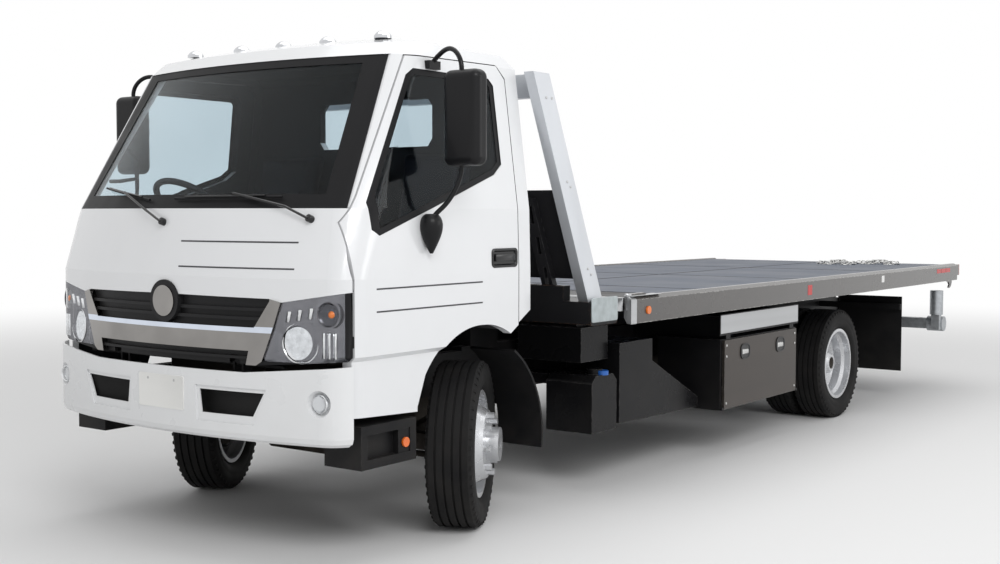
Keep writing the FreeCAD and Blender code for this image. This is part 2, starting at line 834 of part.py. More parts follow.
drum = Part.makeCylinder(mm("brake_radius"), hub_start - 6 - drum_x, at(drum_x, 0, axle_z), Vector(1, 0, 0))
spindle = Part.makeCylinder(mm("spindle_radius"), spindle_end - fork_x, at(fork_x, 0, axle_z), Vector(1, 0, 0))
arm_z = axle_z - mm("steer_arm_drop")
arm = slab((pin_x - 22, pin_x + 22), (0, mm("steer_arm")), (arm_z - 11, arm_z + 11))
arm_end = Part.makeCylinder(22, 22, at(pin_x, mm("steer_arm"), arm_z - 11))
arm_bore = Part.makeCylinder(10.05, 60, at(pin_x, mm("steer_arm"), arm_z - 30))
arm_foot = slab((pin_x - 22, pin_x + 22), (-fork_half, fork_half), (arm_z - 11, axle_z - eye_half - 5))
knuckle = pin.fuse([upper, lower, web, drum, spindle, arm, arm_end, arm_foot]).cut(arm_bore)
node(feature("knuckle_left", steered(knuckle, "left")), "knuckle_left")
node(feature("knuckle_right", steered(flip(knuckle), "right")), "knuckle_right")

# Tie rod behind the axle: it joins the two knuckle arms, with a ball joint's stud at each end.
turn = math.radians(steer)
ball_shift = Vector(-mm("steer_arm") * math.sin(turn), mm("steer_arm") * math.cos(turn), -mm("steer_arm_drop"))
left_ball = kingpin["left"] + ball_shift
right_ball = kingpin["right"] + ball_shift
rod_drop = Vector(0, 0, -40)
track_rod = Part.makeCylinder(mm("tie_rod_radius"), (left_ball - right_ball).Length, right_ball + rod_drop,
                              Vector(1, 0, 0))
joints = []
for ball, stud_radius in ((left_ball, 10), (right_ball, 7)):
    joints.append(Part.makeCylinder(mm("ball_radius") + 4, 44, ball + rod_drop + Vector(0, 0, -22)))
    joints.append(Part.makeCylinder(stud_radius, 50, ball + rod_drop + Vector(0, 0, 0)))
node(feature("tie_rod", track_rod.fuse(joints)), "tie_rod")

# Rear axle: a tube with the differential in its middle and a spindle and brake drum at each end.
tube_half = "rear_half_track - dual_gap / 2 + disc_offset - 84"
tube = rod("axle_tube", "x", "axle_tube_radius", "2 * (%s)" % tube_half, "-(%s)" % tube_half, "wheelbase", "axle_height")
spindle_half = "rear_half_track + 165"
spindles = rod("rear_spindles", "x", "rear_spindle_radius", "2 * (%s)" % spindle_half, "-(%s)" % spindle_half,
               "wheelbase", "axle_height")
diff = rod("diff", "x", "diff_radius", "2 * diff_half_width", "-diff_half_width", "wheelbase", "axle_height")
diff_front = rod("diff_front", "y", "diff_radius / 2", "diff_nose", "0", "wheelbase - diff_nose", "axle_height + 20")
drum_left = rod("rear_drum", "x", "drum_radius", "150", "%s - 160" % tube_half, "wheelbase", "axle_height")
perch = block("rear_perch", ("spring_x - spring_width / 2", "spring_x + spring_width / 2"),
              ("wheelbase - beam_width", "wheelbase + beam_width"),
              ("axle_height", "rear_spring_seat - spring_thickness / 2 + 27"))
node(fuse("rear_axle_all", tube, spindles, diff, diff_front, pair("rear_drums", drum_left),
          pair("perches", perch)), "rear_axle")


# Leaf springs under the rails, each hung from two brackets.
def leaf_spring(axle, seat, drop_x):
    """A bowed pack of leaves over or under an axle, with the hangers at its ends."""
    half, eye = mm("spring_half_length"), mm("spring_eye_height")
    thick, width = mm("spring_thickness"), mm("spring_width")
    x = mm("spring_x") - width / 2
    low = [at(x, axle - half, eye - thick / 2), at(x, axle, seat - thick / 2), at(x, axle + half, eye - thick / 2)]
    high = [at(x, axle - half, eye + 4), at(x, axle, seat + thick / 2), at(x, axle + half, eye + 4)]
    edges = [Part.Arc(*low).toShape(), Part.makeLine(low[2], high[2]), Part.Arc(*reversed(high)).toShape(),
             Part.makeLine(high[0], low[0])]
    pack = Part.Face(Part.Wire(edges)).extrude(Vector(width, 0, 0))
    rail_low = mm("rail_top") - mm("rail_height")
    hangers = [slab((x, x + width), (axle + s * half - 30, axle + s * half + 30), (eye - thick / 2, rail_low))
               for s in (-1, 1)]
    return pack.fuse(hangers)


front_spring = leaf_spring(0, mm("front_spring_seat"), 0)
rear_spring = leaf_spring(mm("wheelbase"), mm("rear_spring_seat") + 27 + mm("spring_thickness") / 2 - 23, 0)
springs = [front_spring, flip(front_spring), rear_spring, flip(rear_spring)]
node(feature("leaf_springs", Part.makeCompound(springs)), "leaf_springs")

# Engine and gearbox blocks under the cab, and the shaft to the rear axle.
engine = block("engine", ("-engine_half_width", "engine_half_width"),
               ("engine_front", "engine_front + engine_length"), ("engine_bottom", "engine_top"))
gearbox = block("gearbox", ("-gearbox_half_width", "gearbox_half_width"),
                ("engine_front + engine_length", "engine_front + engine_length + gearbox_length"),
                ("shaft_z - gearbox_height / 2", "shaft_z + gearbox_height / 2"))
mount = block("engine_mount", ("engine_half_width", rail_in), ("0", "120"), ("engine_bottom + 180", "engine_bottom + 240"))
gear_end = mm("engine_front") + mm("engine_length") + mm("gearbox_length")
shaft_from = at(0, gear_end, mm("shaft_z"))
shaft_to = at(0, mm("wheelbase") - mm("diff_nose"), axle_z + 20)
shaft_run = shaft_to - shaft_from
shaft = feature("shaft", Part.makeCylinder(mm("shaft_radius"), shaft_run.Length - 12, shaft_from, shaft_run))
radiator = block("radiator_core", ("-radiator_half_width", "radiator_half_width"),
                 ("radiator_y", "radiator_y + radiator_depth"), ("radiator_bottom", "radiator_top"))
radiator_foot = block("radiator_foot", ("radiator_half_width", rail_in), ("radiator_y + 20", "radiator_y + radiator_depth - 20"),
                      ("rail_top - 90", "rail_top - 30"))
node(together("driveline_all", engine, gearbox, mount, mirrored("mount_right", mount), shaft, radiator, radiator_foot,
              mirrored("foot_right", radiator_foot)), "engine_and_driveline")

# Fuel tank on the right, and on the left a small fluid tank, the valve box over it and the oil tank
# with a sloping end, all on brackets from the rails.
fuel = padded("fuel_tank", "XZ", [
    ("-fuel_inner_x", "fuel_bottom + fuel_round"), ("-fuel_inner_x", "fuel_top - fuel_round"),
    ("-fuel_inner_x - fuel_round", "fuel_top"), ("-fuel_outer_x + fuel_round", "fuel_top"),
    ("-fuel_outer_x", "fuel_top - fuel_round"), ("-fuel_outer_x", "fuel_bottom + fuel_round"),
    ("-fuel_outer_x + fuel_round", "fuel_bottom"), ("-fuel_inner_x - fuel_round", "fuel_bottom")],
    "fuel_front", "fuel_front + fuel_length")
fuel_foot = block("fuel_foot", ("-fuel_inner_x - 10", "-rail_half_spread"),
                  ("fuel_front + 100", "fuel_front + fuel_length - 100"), ("rail_top - rail_height", "rail_top - 120"))
fluid = padded("fluid_tank", "YZ", [
    (FRONT + " + fluid_front", "fluid_bottom"), (FRONT + " + fluid_rear", "fluid_bottom"),
    (FRONT + " + fluid_rear", "fluid_top - fluid_round"), (FRONT + " + fluid_rear - fluid_round", "fluid_top"),
    (FRONT + " + fluid_front + fluid_round", "fluid_top"), (FRONT + " + fluid_front", "fluid_top - fluid_round")],
    "fluid_inner_x", "fluid_outer_x")
fluid_cap = rod("fluid_cap", "z", "cap_radius", "cap_height", "fluid_outer_x - cap_radius - 20",
                "(fluid_front + fluid_rear) / 2", "fluid_top")
fluid_foot = block("fluid_foot", ("rail_half_spread", "fluid_inner_x"),
                   ("fluid_front + tank_bracket", "fluid_rear - tank_bracket"), ("rail_top - rail_height", "fluid_top - 10"))
oil = side_plate("oil_tank", [
    ("oil_front", "oil_bottom"), ("oil_rear", "oil_bottom - 20"), ("oil_rear", "oil_bottom + 45"),
    ("oil_front + 375", "oil_top - 130"), ("oil_front + 375", "oil_top"), ("oil_front", "oil_top")], "oil_inner_x", "oil_outer_x")
oil_foot = block("oil_foot", ("rail_half_spread", "oil_inner_x"), ("oil_front + 60", "oil_front + 300"),
                 ("rail_top - rail_height", "rail_top - 60"))
valve_box = block("valve_box", ("valve_inner_x", "valve_outer_x"), ("valve_front", "valve_rear"), ("valve_bottom", "valve_top"))
valve_lid = block("valve_lid", ("valve_inner_x + 40", "valve_outer_x - 60"), ("valve_front + 50", "valve_rear - 60"),
                  ("valve_top", "valve_top + 18"))
valve_foot = block("valve_foot", ("rail_half_spread", "valve_inner_x"), ("valve_front + 60", "valve_rear - 60"),
                   ("valve_bottom", "rail_top"))
oil_all = fuse("oil_tank_set", oil, oil_foot)
valve_all = fuse("valve_set", valve_box, valve_lid, valve_foot)
left_fluid = fuse("fluid_set", fluid, fluid_cap, fluid_foot)
node(together("tanks_all", fuse("fuel_set", fuel, fuel_foot), left_fluid, oil_all, valve_all), "side_tanks")

# Steps below the doors: two treads in a hollow pressed box on an outrigger from the rail.
step_side = block("step_box", ("step_inner_x", "step_outer_x"), ("step_front", "step_rear"), ("step_bottom", "step_top"))
step_hollow = block("step_hollow", ("step_outer_x - step_tread", "step_outer_x + 10"),
                    ("step_front + step_tread", "step_rear - step_tread"),
                    ("step_bottom + step_tread", "step_top - step_tread"))
step_arm = block("step_arm", ("rail_half_spread", "step_inner_x"), ("step_front + 60", "step_front + 140"),
                 ("rail_top - rail_height", "step_top"))
step_web = block("step_web", ("step_outer_x - step_tread - 5", "step_outer_x - 6"), ("step_rear - 115", "step_rear - 35"),
                 ("step_bottom + step_tread", "step_top - step_tread"))
node(pair("steps_all", fuse("step", cut("step_open", step_side, step_hollow), step_web, step_arm)), "cab_steps")

# Curved liners behind the front wheels, each on a strut from the rail.
liner_r = mm("liner_radius")
liner_low = math.radians(mm("liner_low_angle"))
liner_high = math.radians(mm("liner_high_angle"))


def liner_point(radius, angle):
    return at(mm("liner_inner_x"), radius * math.cos(angle), axle_z + radius * math.sin(angle))


liner_mid = (liner_low + liner_high) / 2
liner_out = liner_r + mm("liner_thickness")
liner_edges = [
    Part.Arc(liner_point(liner_r, liner_low), liner_point(liner_r, liner_mid), liner_point(liner_r, liner_high)).toShape(),
    Part.makeLine(liner_point(liner_r, liner_high), liner_point(liner_out, liner_high)),
    Part.Arc(liner_point(liner_out, liner_high), liner_point(liner_out, liner_mid),
             liner_point(liner_out, liner_low)).toShape(),
    Part.makeLine(liner_point(liner_out, liner_low), liner_point(liner_r, liner_low))]
liner = Part.Face(Part.Wire(liner_edges)).extrude(Vector(mm("liner_outer_x") - mm("liner_inner_x"), 0, 0))
liner_strut = slab((mm("rail_half_spread"), mm("liner_inner_x") + 60), (liner_r - 15, liner_r + 25),
                   (mm("rail_top") - mm("rail_height") - 40, mm("rail_top") - mm("rail_height") + 20))
liner = liner.fuse(liner_strut)
node(feature("arch_liners", Part.makeCompound([liner, flip(liner)])), "arch_liners")

# Mud flaps behind the rear wheels, hung from a bar on each rail.
flap = block("flap", ("flap_inner_x", "flap_outer_x"), ("flap_y", "flap_y + flap_thickness"), ("flap_bottom", "flap_top"))
flap_bar = block("flap_bar", ("rail_half_spread", "flap_outer_x"), ("flap_y - flap_bar", "flap_y"),
                 ("rail_top - flap_bar", "rail_top"))
node(pair("flaps_all", fuse("flap_set", flap, flap_bar)), "mud_flaps")

# Toolboxes: open steel boxes on each side with a shelf plate above, closed by a drop door.
box_front_y, box_rear_y = "box_front", "box_front + box_length"
box_solid = block("box_solid", ("box_inner_x", "box_outer_x - box_door_wall"), (box_front_y, box_rear_y),
                  ("box_bottom", "box_top"))
box_room = block("box_room", ("box_inner_x + box_wall", "box_outer_x"), (box_front_y + " + box_wall", box_rear_y + " - box_wall"),
                 ("box_bottom + box_wall", "box_top - box_wall"))
box_shelf = block("box_shelf", ("box_outer_x - shelf_wall", "box_outer_x"), (box_front_y + " - 40", box_rear_y),
                  ("shelf_bottom", "shelf_top"))
box_hanger = block("box_hanger", ("rail_half_spread", "box_outer_x - shelf_wall"), (box_front_y + " + 60", box_front_y + " + 120"),
                   ("box_top", "shelf_top - 20"))
box_hanger_2 = block("box_hanger_2", ("rail_half_spread", "box_outer_x - shelf_wall"),
                     (box_rear_y + " - 120", box_rear_y + " - 60"), ("box_top", "shelf_top - 20"))
hinge_x = "box_outer_x - box_door_wall / 2"
hinge_z = "box_bottom + box_door_wall / 2"
box_pins = []
for number, place in enumerate((box_front_y, box_rear_y + " - 60")):
    box_pins.append(block("box_ear_%d" % number, ("box_outer_x - box_door_wall", "box_outer_x - 1"),
                          ("%s + %d" % (place, 0 if number == 0 else 60 - 20), "%s + %d" % (place, 20 if number == 0 else 60)),
                          ("box_bottom", "box_bottom + box_door_wall")))
    box_pins.append(rod("box_pin_%d" % number, "y", "box_hinge_radius / 2", "60", hinge_x, place, hinge_z))
toolbox = fuse("toolbox", cut("box_open", box_solid, box_room), box_shelf, box_hanger, box_hanger_2, *box_pins)
node(pair("toolboxes_all", toolbox), "toolboxes")

door_plate = block("drop_door", ("box_outer_x - box_door_wall + 1", "box_outer_x"),
                   (box_front_y + " + 26", box_rear_y + " - 26"), (hinge_z, "box_top - 6"))
door_pin_hole = rod("drop_hole", "y", "box_hinge_radius / 2 + 0.3", "box_length + 20", hinge_x, box_front_y + " - 10", hinge_z)
door_round = rod("drop_round", "y", "box_door_wall / 2 - 1", "box_length - 52", hinge_x, box_front_y + " + 26", hinge_z)
toolbox_door = cut("drop_door_cut", fuse("drop_door_solid", door_plate, door_round), door_pin_hole)
node(toolbox_door, "toolbox_door_left")
node(mirrored("toolbox_door_other", toolbox_door), "toolbox_door_right")

# Subframe: flats on the chassis rails, the ears and pins of the tilt pivot, and the saddle
# with the beam across it that carries the headboard.
flat = block("subframe_flat", ("rail_half_spread - rail_flange", "rail_half_spread"),
             ("subframe_front", "subframe_rear"), ("rail_top", "rail_top + subframe_height"))
ear_in = "rail_half_spread + 1"
ear = side_plate("pivot_ear", [
    ("pivot_y - pivot_ear_half", "rail_top - rail_height + 30"), ("pivot_y + pivot_ear_half", "rail_top - rail_height + 30"),
    ("pivot_y + pivot_ear_half", "pivot_z + pivot_ear_half / 2"), ("pivot_y - pivot_ear_half", "pivot_z + pivot_ear_half / 2")],
    "rail_half_spread", "rail_half_spread + pivot_ear")
pivot_pin = rod("pivot_pin", "x", "pivot_radius", "rail_half_spread + pivot_ear - tilt_rail_x + tilt_rail_width / 2 + 6",
                "tilt_rail_x - tilt_rail_width / 2 - 6", "pivot_y", "pivot_z")
riser = block("beam_riser", ("rail_half_spread - rail_flange", "rail_half_spread"),
              ("cross_beam_front", "cross_beam_rear"), ("rail_top + subframe_height", "cross_beam_bottom"))
beam_tube = block("head_beam", ("-cross_beam_half", "cross_beam_half"), ("cross_beam_front", "cross_beam_rear"),
                  ("cross_beam_bottom", "cross_beam_top"))
node(pair("subframe_sides", fuse("subframe_side", flat, ear, pivot_pin, riser)), "subframe")
beam_tray = block("head_tray", ("-tray_half", "tray_half"), ("cross_beam_front", "tray_rear"), ("cross_beam_top", "tray_top"))
tray_room = block("tray_room", ("-tray_half + 30", "tray_half - 30"), ("cross_beam_front + 14", "tray_rear - 14"),
                  ("cross_beam_top + 24", "tray_top + 10"))
beam_end = block("beam_end", ("cross_beam_half - 12", "cross_beam_half"), ("cross_beam_front - 4", "cross_beam_rear + 6"),
                 ("cross_beam_bottom - 6", "cross_beam_top + 8"))
beam_caps = doc.addObject("Part::Fillet", "beam_caps")
beam_caps.Base = beam_end
doc.recompute()
beam_caps.Edges = [(number, 18, 18) for number, edge in enumerate(beam_end.Shape.Edges, 1)
                   if edge.BoundBox.XLength > 1]
node(fuse("head_beam_all", beam_tube, cut("head_tray_open", beam_tray, tray_room), pair("beam_cap_pair", beam_caps)),
     "headboard_beam")

# Headboard on the beam: two leaning aluminium posts, a bar across their tops and a dark shield
# plate with slotted braces.
post_w, post_d = mm("post_width"), mm("post_depth")
base_z, head_z = mm("post_base_z"), mm("post_top_z")


def post_section(outer, front, z):
    corners = [at(outer - post_w, front, z), at(outer, front, z), at(outer, front + post_d, z),
               at(outer - post_w, front + post_d, z)]
    return Part.makePolygon(corners + corners[:1])


def post_front(z):
    """Where the front face of the leaning posts is at a height."""
    share = (z - base_z) / (head_z - base_z)
    return mm("post_base_front") + share * (mm("post_top_front") - mm("post_base_front"))


def post_outer(z):
    share = (z - base_z) / (head_z - base_z)
    return mm("post_base_x") + share * (mm("post_top_x") - mm("post_base_x"))


post = Part.makeLoft([post_section(mm("post_base_x"), mm("post_base_front"), base_z),
                      post_section(mm("post_top_x"), mm("post_top_front"), head_z)], True, True)
bar_low = head_z - mm("head_bar_height")
bar_y = post_front(bar_low) + post_d / 2
bar_half = post_outer(head_z) - post_w
head_bar = slab((-bar_half - 6, bar_half + 6), (bar_y, bar_y + mm("head_bar_depth")), (bar_low, head_z))
node(feature("headboard_posts", post.fuse([flip(post), head_bar])), "headboard_posts")

shield_low, shield_high, shield_t = mm("shield_bottom"), mm("shield_top"), mm("shield_wall")
shield_y = [post_front(z) + post_d * 0.5 for z in (shield_low, shield_high)]
shield_x = [post_outer(z) - post_w for z in (shield_low, shield_high)]
plate_wires = []
for z, y, x in zip((shield_low, shield_high), shield_y, shield_x):
    corners = [at(-x, y, z), at(x, y, z), at(x, y + shield_t, z), at(-x, y + shield_t, z)]
    plate_wires.append(Part.makePolygon(corners + corners[:1]))
shield = Part.makeLoft(plate_wires, True, True)
braces = []
for sign in (-1, 1):
    wires = []
    for z, y in zip((base_z, shield_high - 40), (post_front(base_z) + post_d * 0.5, post_front(shield_high - 40) + post_d * 0.5)):
        x = sign * (post_outer(z) - 250)
        corners = [at(x - 35, y - 40, z), at(x + 35, y - 40, z), at(x + 35, y, z), at(x - 35, y, z)]
        wires.append(Part.makePolygon(corners + corners[:1]))
    brace = Part.makeLoft(wires, True, True)
    for share in (0.15, 0.45, 0.75):
        z = base_z + share * (shield_high - 40 - base_z)
        middle = sign * (post_outer(z) - 250)
        brace = brace.cut(slab((middle - 10, middle + 10), (0, 1000), (z, z + 90)))
    braces.append(brace)
node(feature("headboard_shield", shield.fuse(braces)), "headboard_shield")

# Tilt frame: two box rails joined by cross tubes, with slide pads on top, the rod eyes' lugs
# and the housing of the wheel lift below its tail.
tilt_rail = block("tilt_rail", ("tilt_rail_x - tilt_rail_width / 2", "tilt_rail_x + tilt_rail_width / 2"),
                  ("tilt_front", "tilt_rear"), ("tilt_rail_bottom", "tilt_rail_top"))
pivot_bore = rod("pivot_bore", "x", "pivot_radius + 0.05", "tilt_rail_width + 20", "tilt_rail_x - tilt_rail_width / 2 - 10",
                 "pivot_y", "pivot_z")
pads = []
for number, place in enumerate(("tilt_front + 60", "(tilt_front + tilt_rear) / 2", "pivot_y - 200", "tilt_rear - 160")):
    pads.append(block("pad_%d" % number, ("tilt_rail_x - tilt_rail_width / 2 + 6", "tilt_rail_x + tilt_rail_width / 2 - 6"),
                      (place, place + " + 120"), ("tilt_rail_top", "tilt_rail_top + pad_height")))
tilt_side = cut("tilt_side", fuse("tilt_side_solid", tilt_rail, *pads), pivot_bore)
tubes = []
for number, place in enumerate(("tilt_front + 20", "eye_y + 85", "lift_front + 30", "pivot_y + 100")):
    tubes.append(block("tilt_cross_%d" % number, ("-tilt_rail_x", "tilt_rail_x"), (place, place + " + tilt_cross"),
                       ("tilt_rail_bottom + 20", "tilt_rail_top - 10")))
lift_case = block("lift_case", ("-lift_outer / 2", "lift_outer / 2"), ("lift_front", "lift_rear"),
                  ("lift_z - lift_outer / 2", "lift_z + lift_outer / 2"))
lift_room = block("lift_room", ("-lift_outer / 2 + lift_wall", "lift_outer / 2 - lift_wall"),
                  ("lift_front - 10", "lift_rear + 10"), ("lift_z - lift_outer / 2 + lift_wall", "lift_z + lift_outer / 2 - lift_wall"))
hangers = []
for number, place in enumerate(("lift_front + 30", "pivot_y + 100")):
    for wall, low in enumerate(("-lift_outer / 2 - hanger_wall", "lift_outer / 2")):
        hangers.append(block("hanger_%d_%d" % (number, wall), (low, low + " + hanger_wall"),
                             (place, place + " + tilt_cross + 60"), ("lift_z - lift_outer / 2", "tilt_rail_top - 10")))
eye_lugs = []
for number, side in enumerate(("-eye_radius - 20", "eye_radius + 6")):
    eye_lugs.append(side_plate("eye_lug_%d" % number, [
        ("eye_y - eye_radius", "eye_z - eye_radius"), ("eye_y + 100", "eye_z - eye_radius"),
        ("eye_y + 100", "eye_z + eye_radius"), ("eye_y - eye_radius", "eye_z + eye_radius")],
        "cylinder_x + " + side, "cylinder_x + %s + 14" % side))
tilt_all = fuse("tilt_frame_all", tilt_side, mirrored("tilt_side_right", tilt_side), *tubes,
                pair("eye_lug_pairs", fuse("eye_lug_set", *eye_lugs)),
                cut("lift_housing", lift_case, lift_room), *hangers)
node(tilt_all, "tilt_frame")

# Wheel lift: an inner boom that slides out of the housing and a crossbar on a pin at its end.
stinger_half = "lift_outer / 2 - lift_wall - lift_clearance"
stinger = block("stinger_boom", ("-(%s)" % stinger_half, stinger_half), ("stinger_front", "stinger_rear"),
                ("lift_z - (%s)" % stinger_half, "lift_z + %s" % stinger_half))
stinger_pad = block("stinger_pads", ("-(%s)" % stinger_half, stinger_half), ("stinger_front", "stinger_front + 80"),
                    ("lift_z - lift_outer / 2 + lift_wall + 0.3", "lift_z"))
fork_top = block("fork_top", ("-50", "50"), ("stinger_rear - 60", "crossbar_y + 45"),
                 ("crossbar_z + crossbar_size / 2 + 1", "crossbar_z + crossbar_size / 2 + 17"))
fork_low = block("fork_low", ("-50", "50"), ("stinger_rear - 60", "crossbar_y + 45"),
                 ("crossbar_z - crossbar_size / 2 - 17", "crossbar_z - crossbar_size / 2 - 1"))
fork_back = block("fork_back", ("-50", "50"), ("stinger_rear - 60", "stinger_rear"),
                  ("crossbar_z - crossbar_size / 2 - 17", "crossbar_z + crossbar_size / 2 + 17"))
swivel_pin = rod("swivel_pin", "z", "swivel_radius", "crossbar_size + 34", "0", "crossbar_y",
                 "crossbar_z - crossbar_size / 2 - 17")
node(fuse("stinger_all", stinger, stinger_pad, fork_top, fork_low, fork_back, swivel_pin), "wheel_lift_boom")

bar = block("bar", ("-crossbar_half", "crossbar_half"), ("crossbar_y - crossbar_size / 2", "crossbar_y + crossbar_size / 2"),
            ("crossbar_z - crossbar_size / 2", "crossbar_z + crossbar_size / 2"))
bar_bore = rod("bar_bore", "z", "swivel_radius + 0.05", "crossbar_size + 20", "0", "crossbar_y",
               "crossbar_z - crossbar_size / 2 - 10")
bar_end = rod("bar_end", "x", "crossbar_size * 0.72", "2 * crossbar_post", "crossbar_half - 2 * crossbar_post", "crossbar_y",
              "crossbar_z")
post_root = block("post_root", ("crossbar_half - crossbar_post - 10", "crossbar_half - 10"),
                  ("crossbar_y - crossbar_size / 2 - crossbar_post", "crossbar_y - crossbar_size / 2"),
                  ("crossbar_z - crossbar_size / 2", "crossbar_z + crossbar_size / 2 + 40"))
post_drum = rod("post_drum", "z", "crossbar_post * 0.8", "crossbar_post_top - crossbar_z - crossbar_size",
                "crossbar_half - crossbar_post / 2 - 10", "crossbar_y - crossbar_size / 2 - crossbar_post / 2",
                "crossbar_z + crossbar_size / 2 + 40")
bar_post = fuse("bar_post", post_root, post_drum)
receiver = rod("receiver", "z", "receiver_radius", "crossbar_size + 20", "receiver_x", "crossbar_y",
               "crossbar_z - crossbar_size / 2 - 10")
bar_all = fuse("bar_all", bar, pair("bar_ends", bar_end), pair("bar_posts", bar_post))
node(cut("bar_cut", bar_all, bar_bore, pair("receivers", receiver)), "wheel_lift_crossbar")

# Deck: long sills that slide on the tilt frame, cross channels and a steel floor.
floor_plate = block("floor_plate", ("-deck_half_width + side_rail_width", "deck_half_width - side_rail_width"),
                    ("winch_bed_rear", "deck_rear - end_bar"), ("deck_floor - deck_plate", "deck_floor"))
sill = block("sill", ("tilt_rail_x - sill_width / 2", "tilt_rail_x + sill_width / 2"),
             ("deck_front + end_bar", "deck_rear - end_bar"), ("sill_bottom", "channel_bottom"))
channels = []
for k in range(int(mm("channel_count"))):
    start = "deck_front + 180 + %d * channel_pitch" % k
    channels.append(block("channel_%d" % k, ("-deck_half_width + side_rail_width", "deck_half_width - side_rail_width"),
                          (start, start + " + channel_width"), ("channel_bottom", "deck_floor - deck_plate")))
node(fuse("deck_all", floor_plate, pair("sills", sill), *channels), "deck_floor")

side_rail = padded("side_rail", "XZ", [
    ("deck_half_width", "side_rail_bottom"), ("deck_half_width", "side_rail_top - side_rail_shoulder"),
    ("deck_half_width - 30", "side_rail_top"), ("deck_half_width - side_rail_width + 10", "side_rail_top"),
    ("deck_half_width - side_rail_width", "deck_floor"), ("deck_half_width - side_rail_width", "side_rail_bottom + 30"),
    ("deck_half_width - side_rail_width + 30", "side_rail_bottom")], "deck_front", "deck_rear")
front_bar = block("deck_front_bar", ("-deck_half_width + side_rail_width", "deck_half_width - side_rail_width"),
                  ("deck_front", "deck_front + end_bar"), ("channel_bottom", "deck_floor"))
tail_bar = side_plate("deck_tail_bar", [
    ("deck_rear - end_bar", "channel_bottom"), ("deck_rear - end_bar", "deck_floor"), ("deck_rear", "deck_floor"),
    ("deck_rear", "channel_bottom + 20")], "-deck_half_width + side_rail_width", "deck_half_width - side_rail_width")
lamp_out, lamp_in = "deck_half_width - tail_lamp_inset", "deck_half_width - tail_lamp_inset - tail_lamp_width"
tail_lamp = block("tail_lamp", (lamp_in, lamp_out), ("deck_rear", "deck_rear + tail_lamp_length - tail_lens"),
                  ("tail_lamp_bottom", "tail_lamp_top"))
corner_cut = doc.addObject("Part::Wedge", "corner_cut")
for name, formula in (("Xmin", "0"), ("Xmax", "deck_corner + 2"), ("X2min", "0"), ("X2max", "0"),
                      ("Ymin", "0"), ("Ymax", "deck_corner * 0.6 + 1"), ("Zmin", "0"), ("Zmax", "300"),
                      ("Z2min", "0"), ("Z2max", "300")):
    corner_cut.setExpression(name, cell(formula))
corner_cut.Placement = Placement(Vector(), Rotation(Vector(0, 1, 0), 0))
corner_cut.setExpression(".Placement.Base.x", cell("deck_half_width - deck_corner"))
corner_cut.setExpression(".Placement.Base.y", cell(FRONT + " + deck_front - 1"))
corner_cut.setExpression(".Placement.Base.z", cell("side_rail_bottom - 50"))
corner_lip = side_plate("corner_lip", [
    ("deck_front + 12", "side_rail_top - 6"), ("deck_front + corner_lip_length", "side_rail_top - 6"),
    ("deck_front + corner_lip_length - 40", "side_rail_top + 12"), ("deck_front + 30", "side_rail_top + 12")],
    "deck_half_width - side_rail_width + 6", "deck_half_width - 34")
tail_hook = side_plate("tail_hook", [
    ("deck_rear - 280", "side_rail_bottom + 40"), ("deck_rear - 20", "side_rail_bottom + 40"),
    ("deck_rear - 20", "side_rail_bottom - 25"), ("deck_rear - 45", "side_rail_bottom - 58"),
    ("deck_rear - 85", "side_rail_bottom - 72"), ("deck_rear - 110", "side_rail_bottom - 66"),
    ("deck_rear - 80", "side_rail_bottom - 40"), ("deck_rear - 110", "side_rail_bottom - 18"),
    ("deck_rear - 200", "side_rail_bottom")], "deck_half_width - side_rail_width + 12", "deck_half_width - side_rail_width + 26")
rail_set = cut("rail_set", fuse("side_rail_set", side_rail, tail_lamp, corner_lip, tail_hook), corner_cut)
node(fuse("deck_rails_all", pair("side_rails", rail_set), front_bar, tail_bar), "deck_rails")

# Lamps on the deck: a small round marker near each front corner and a tail lamp lens at each rear end.
deck_marker = rod("deck_marker", "x", "marker_radius", "marker_wall", "deck_half_width", "deck_marker_y", "deck_marker_z")
tail_lens = block("tail_lens", (lamp_in, lamp_out),
                  ("deck_rear + tail_lamp_length - tail_lens", "deck_rear + tail_lamp_length"),
                  ("tail_lamp_bottom", "tail_lamp_top"))
node(together("deck_lamps_all", deck_marker, tail_lens, mirrored("deck_marker_right", deck_marker),
              mirrored("tail_lens_right", tail_lens)), "deck_lamps")

# Winch: a bed plate at the deck's front, with two upright plates that carry the shaft of a cable drum.
plate = block("winch_plate", ("winch_plate_gap", "winch_plate_gap + winch_plate"),
              ("winch_y - winch_plate_half", "winch_y + winch_plate_half"), ("winch_bed_top", "winch_z + winch_plate_half"))
plate_bore = rod("winch_bore", "x", "winch_shaft + 0.05", "winch_plate + 20", "winch_plate_gap - 10", "winch_y", "winch_z")
winch_foot = block("winch_foot", ("-winch_plate_gap", "winch_plate_gap"),
                   ("winch_y - winch_plate_half", "winch_y - winch_plate_half + 30"), ("winch_bed_top", "winch_bed_top + 40"))
winch_bed = block("winch_bed", ("-deck_half_width + side_rail_width", "deck_half_width - side_rail_width"),
                  ("deck_front + end_bar", "winch_bed_rear"), ("deck_floor - deck_plate", "winch_bed_top"))
winch_side = cut("winch_side", plate, plate_bore)
node(fuse("winch_frame_all", pair("winch_sides", winch_side), winch_foot, winch_bed), "winch_frame")
drum_end = "winch_plate_gap - 6"
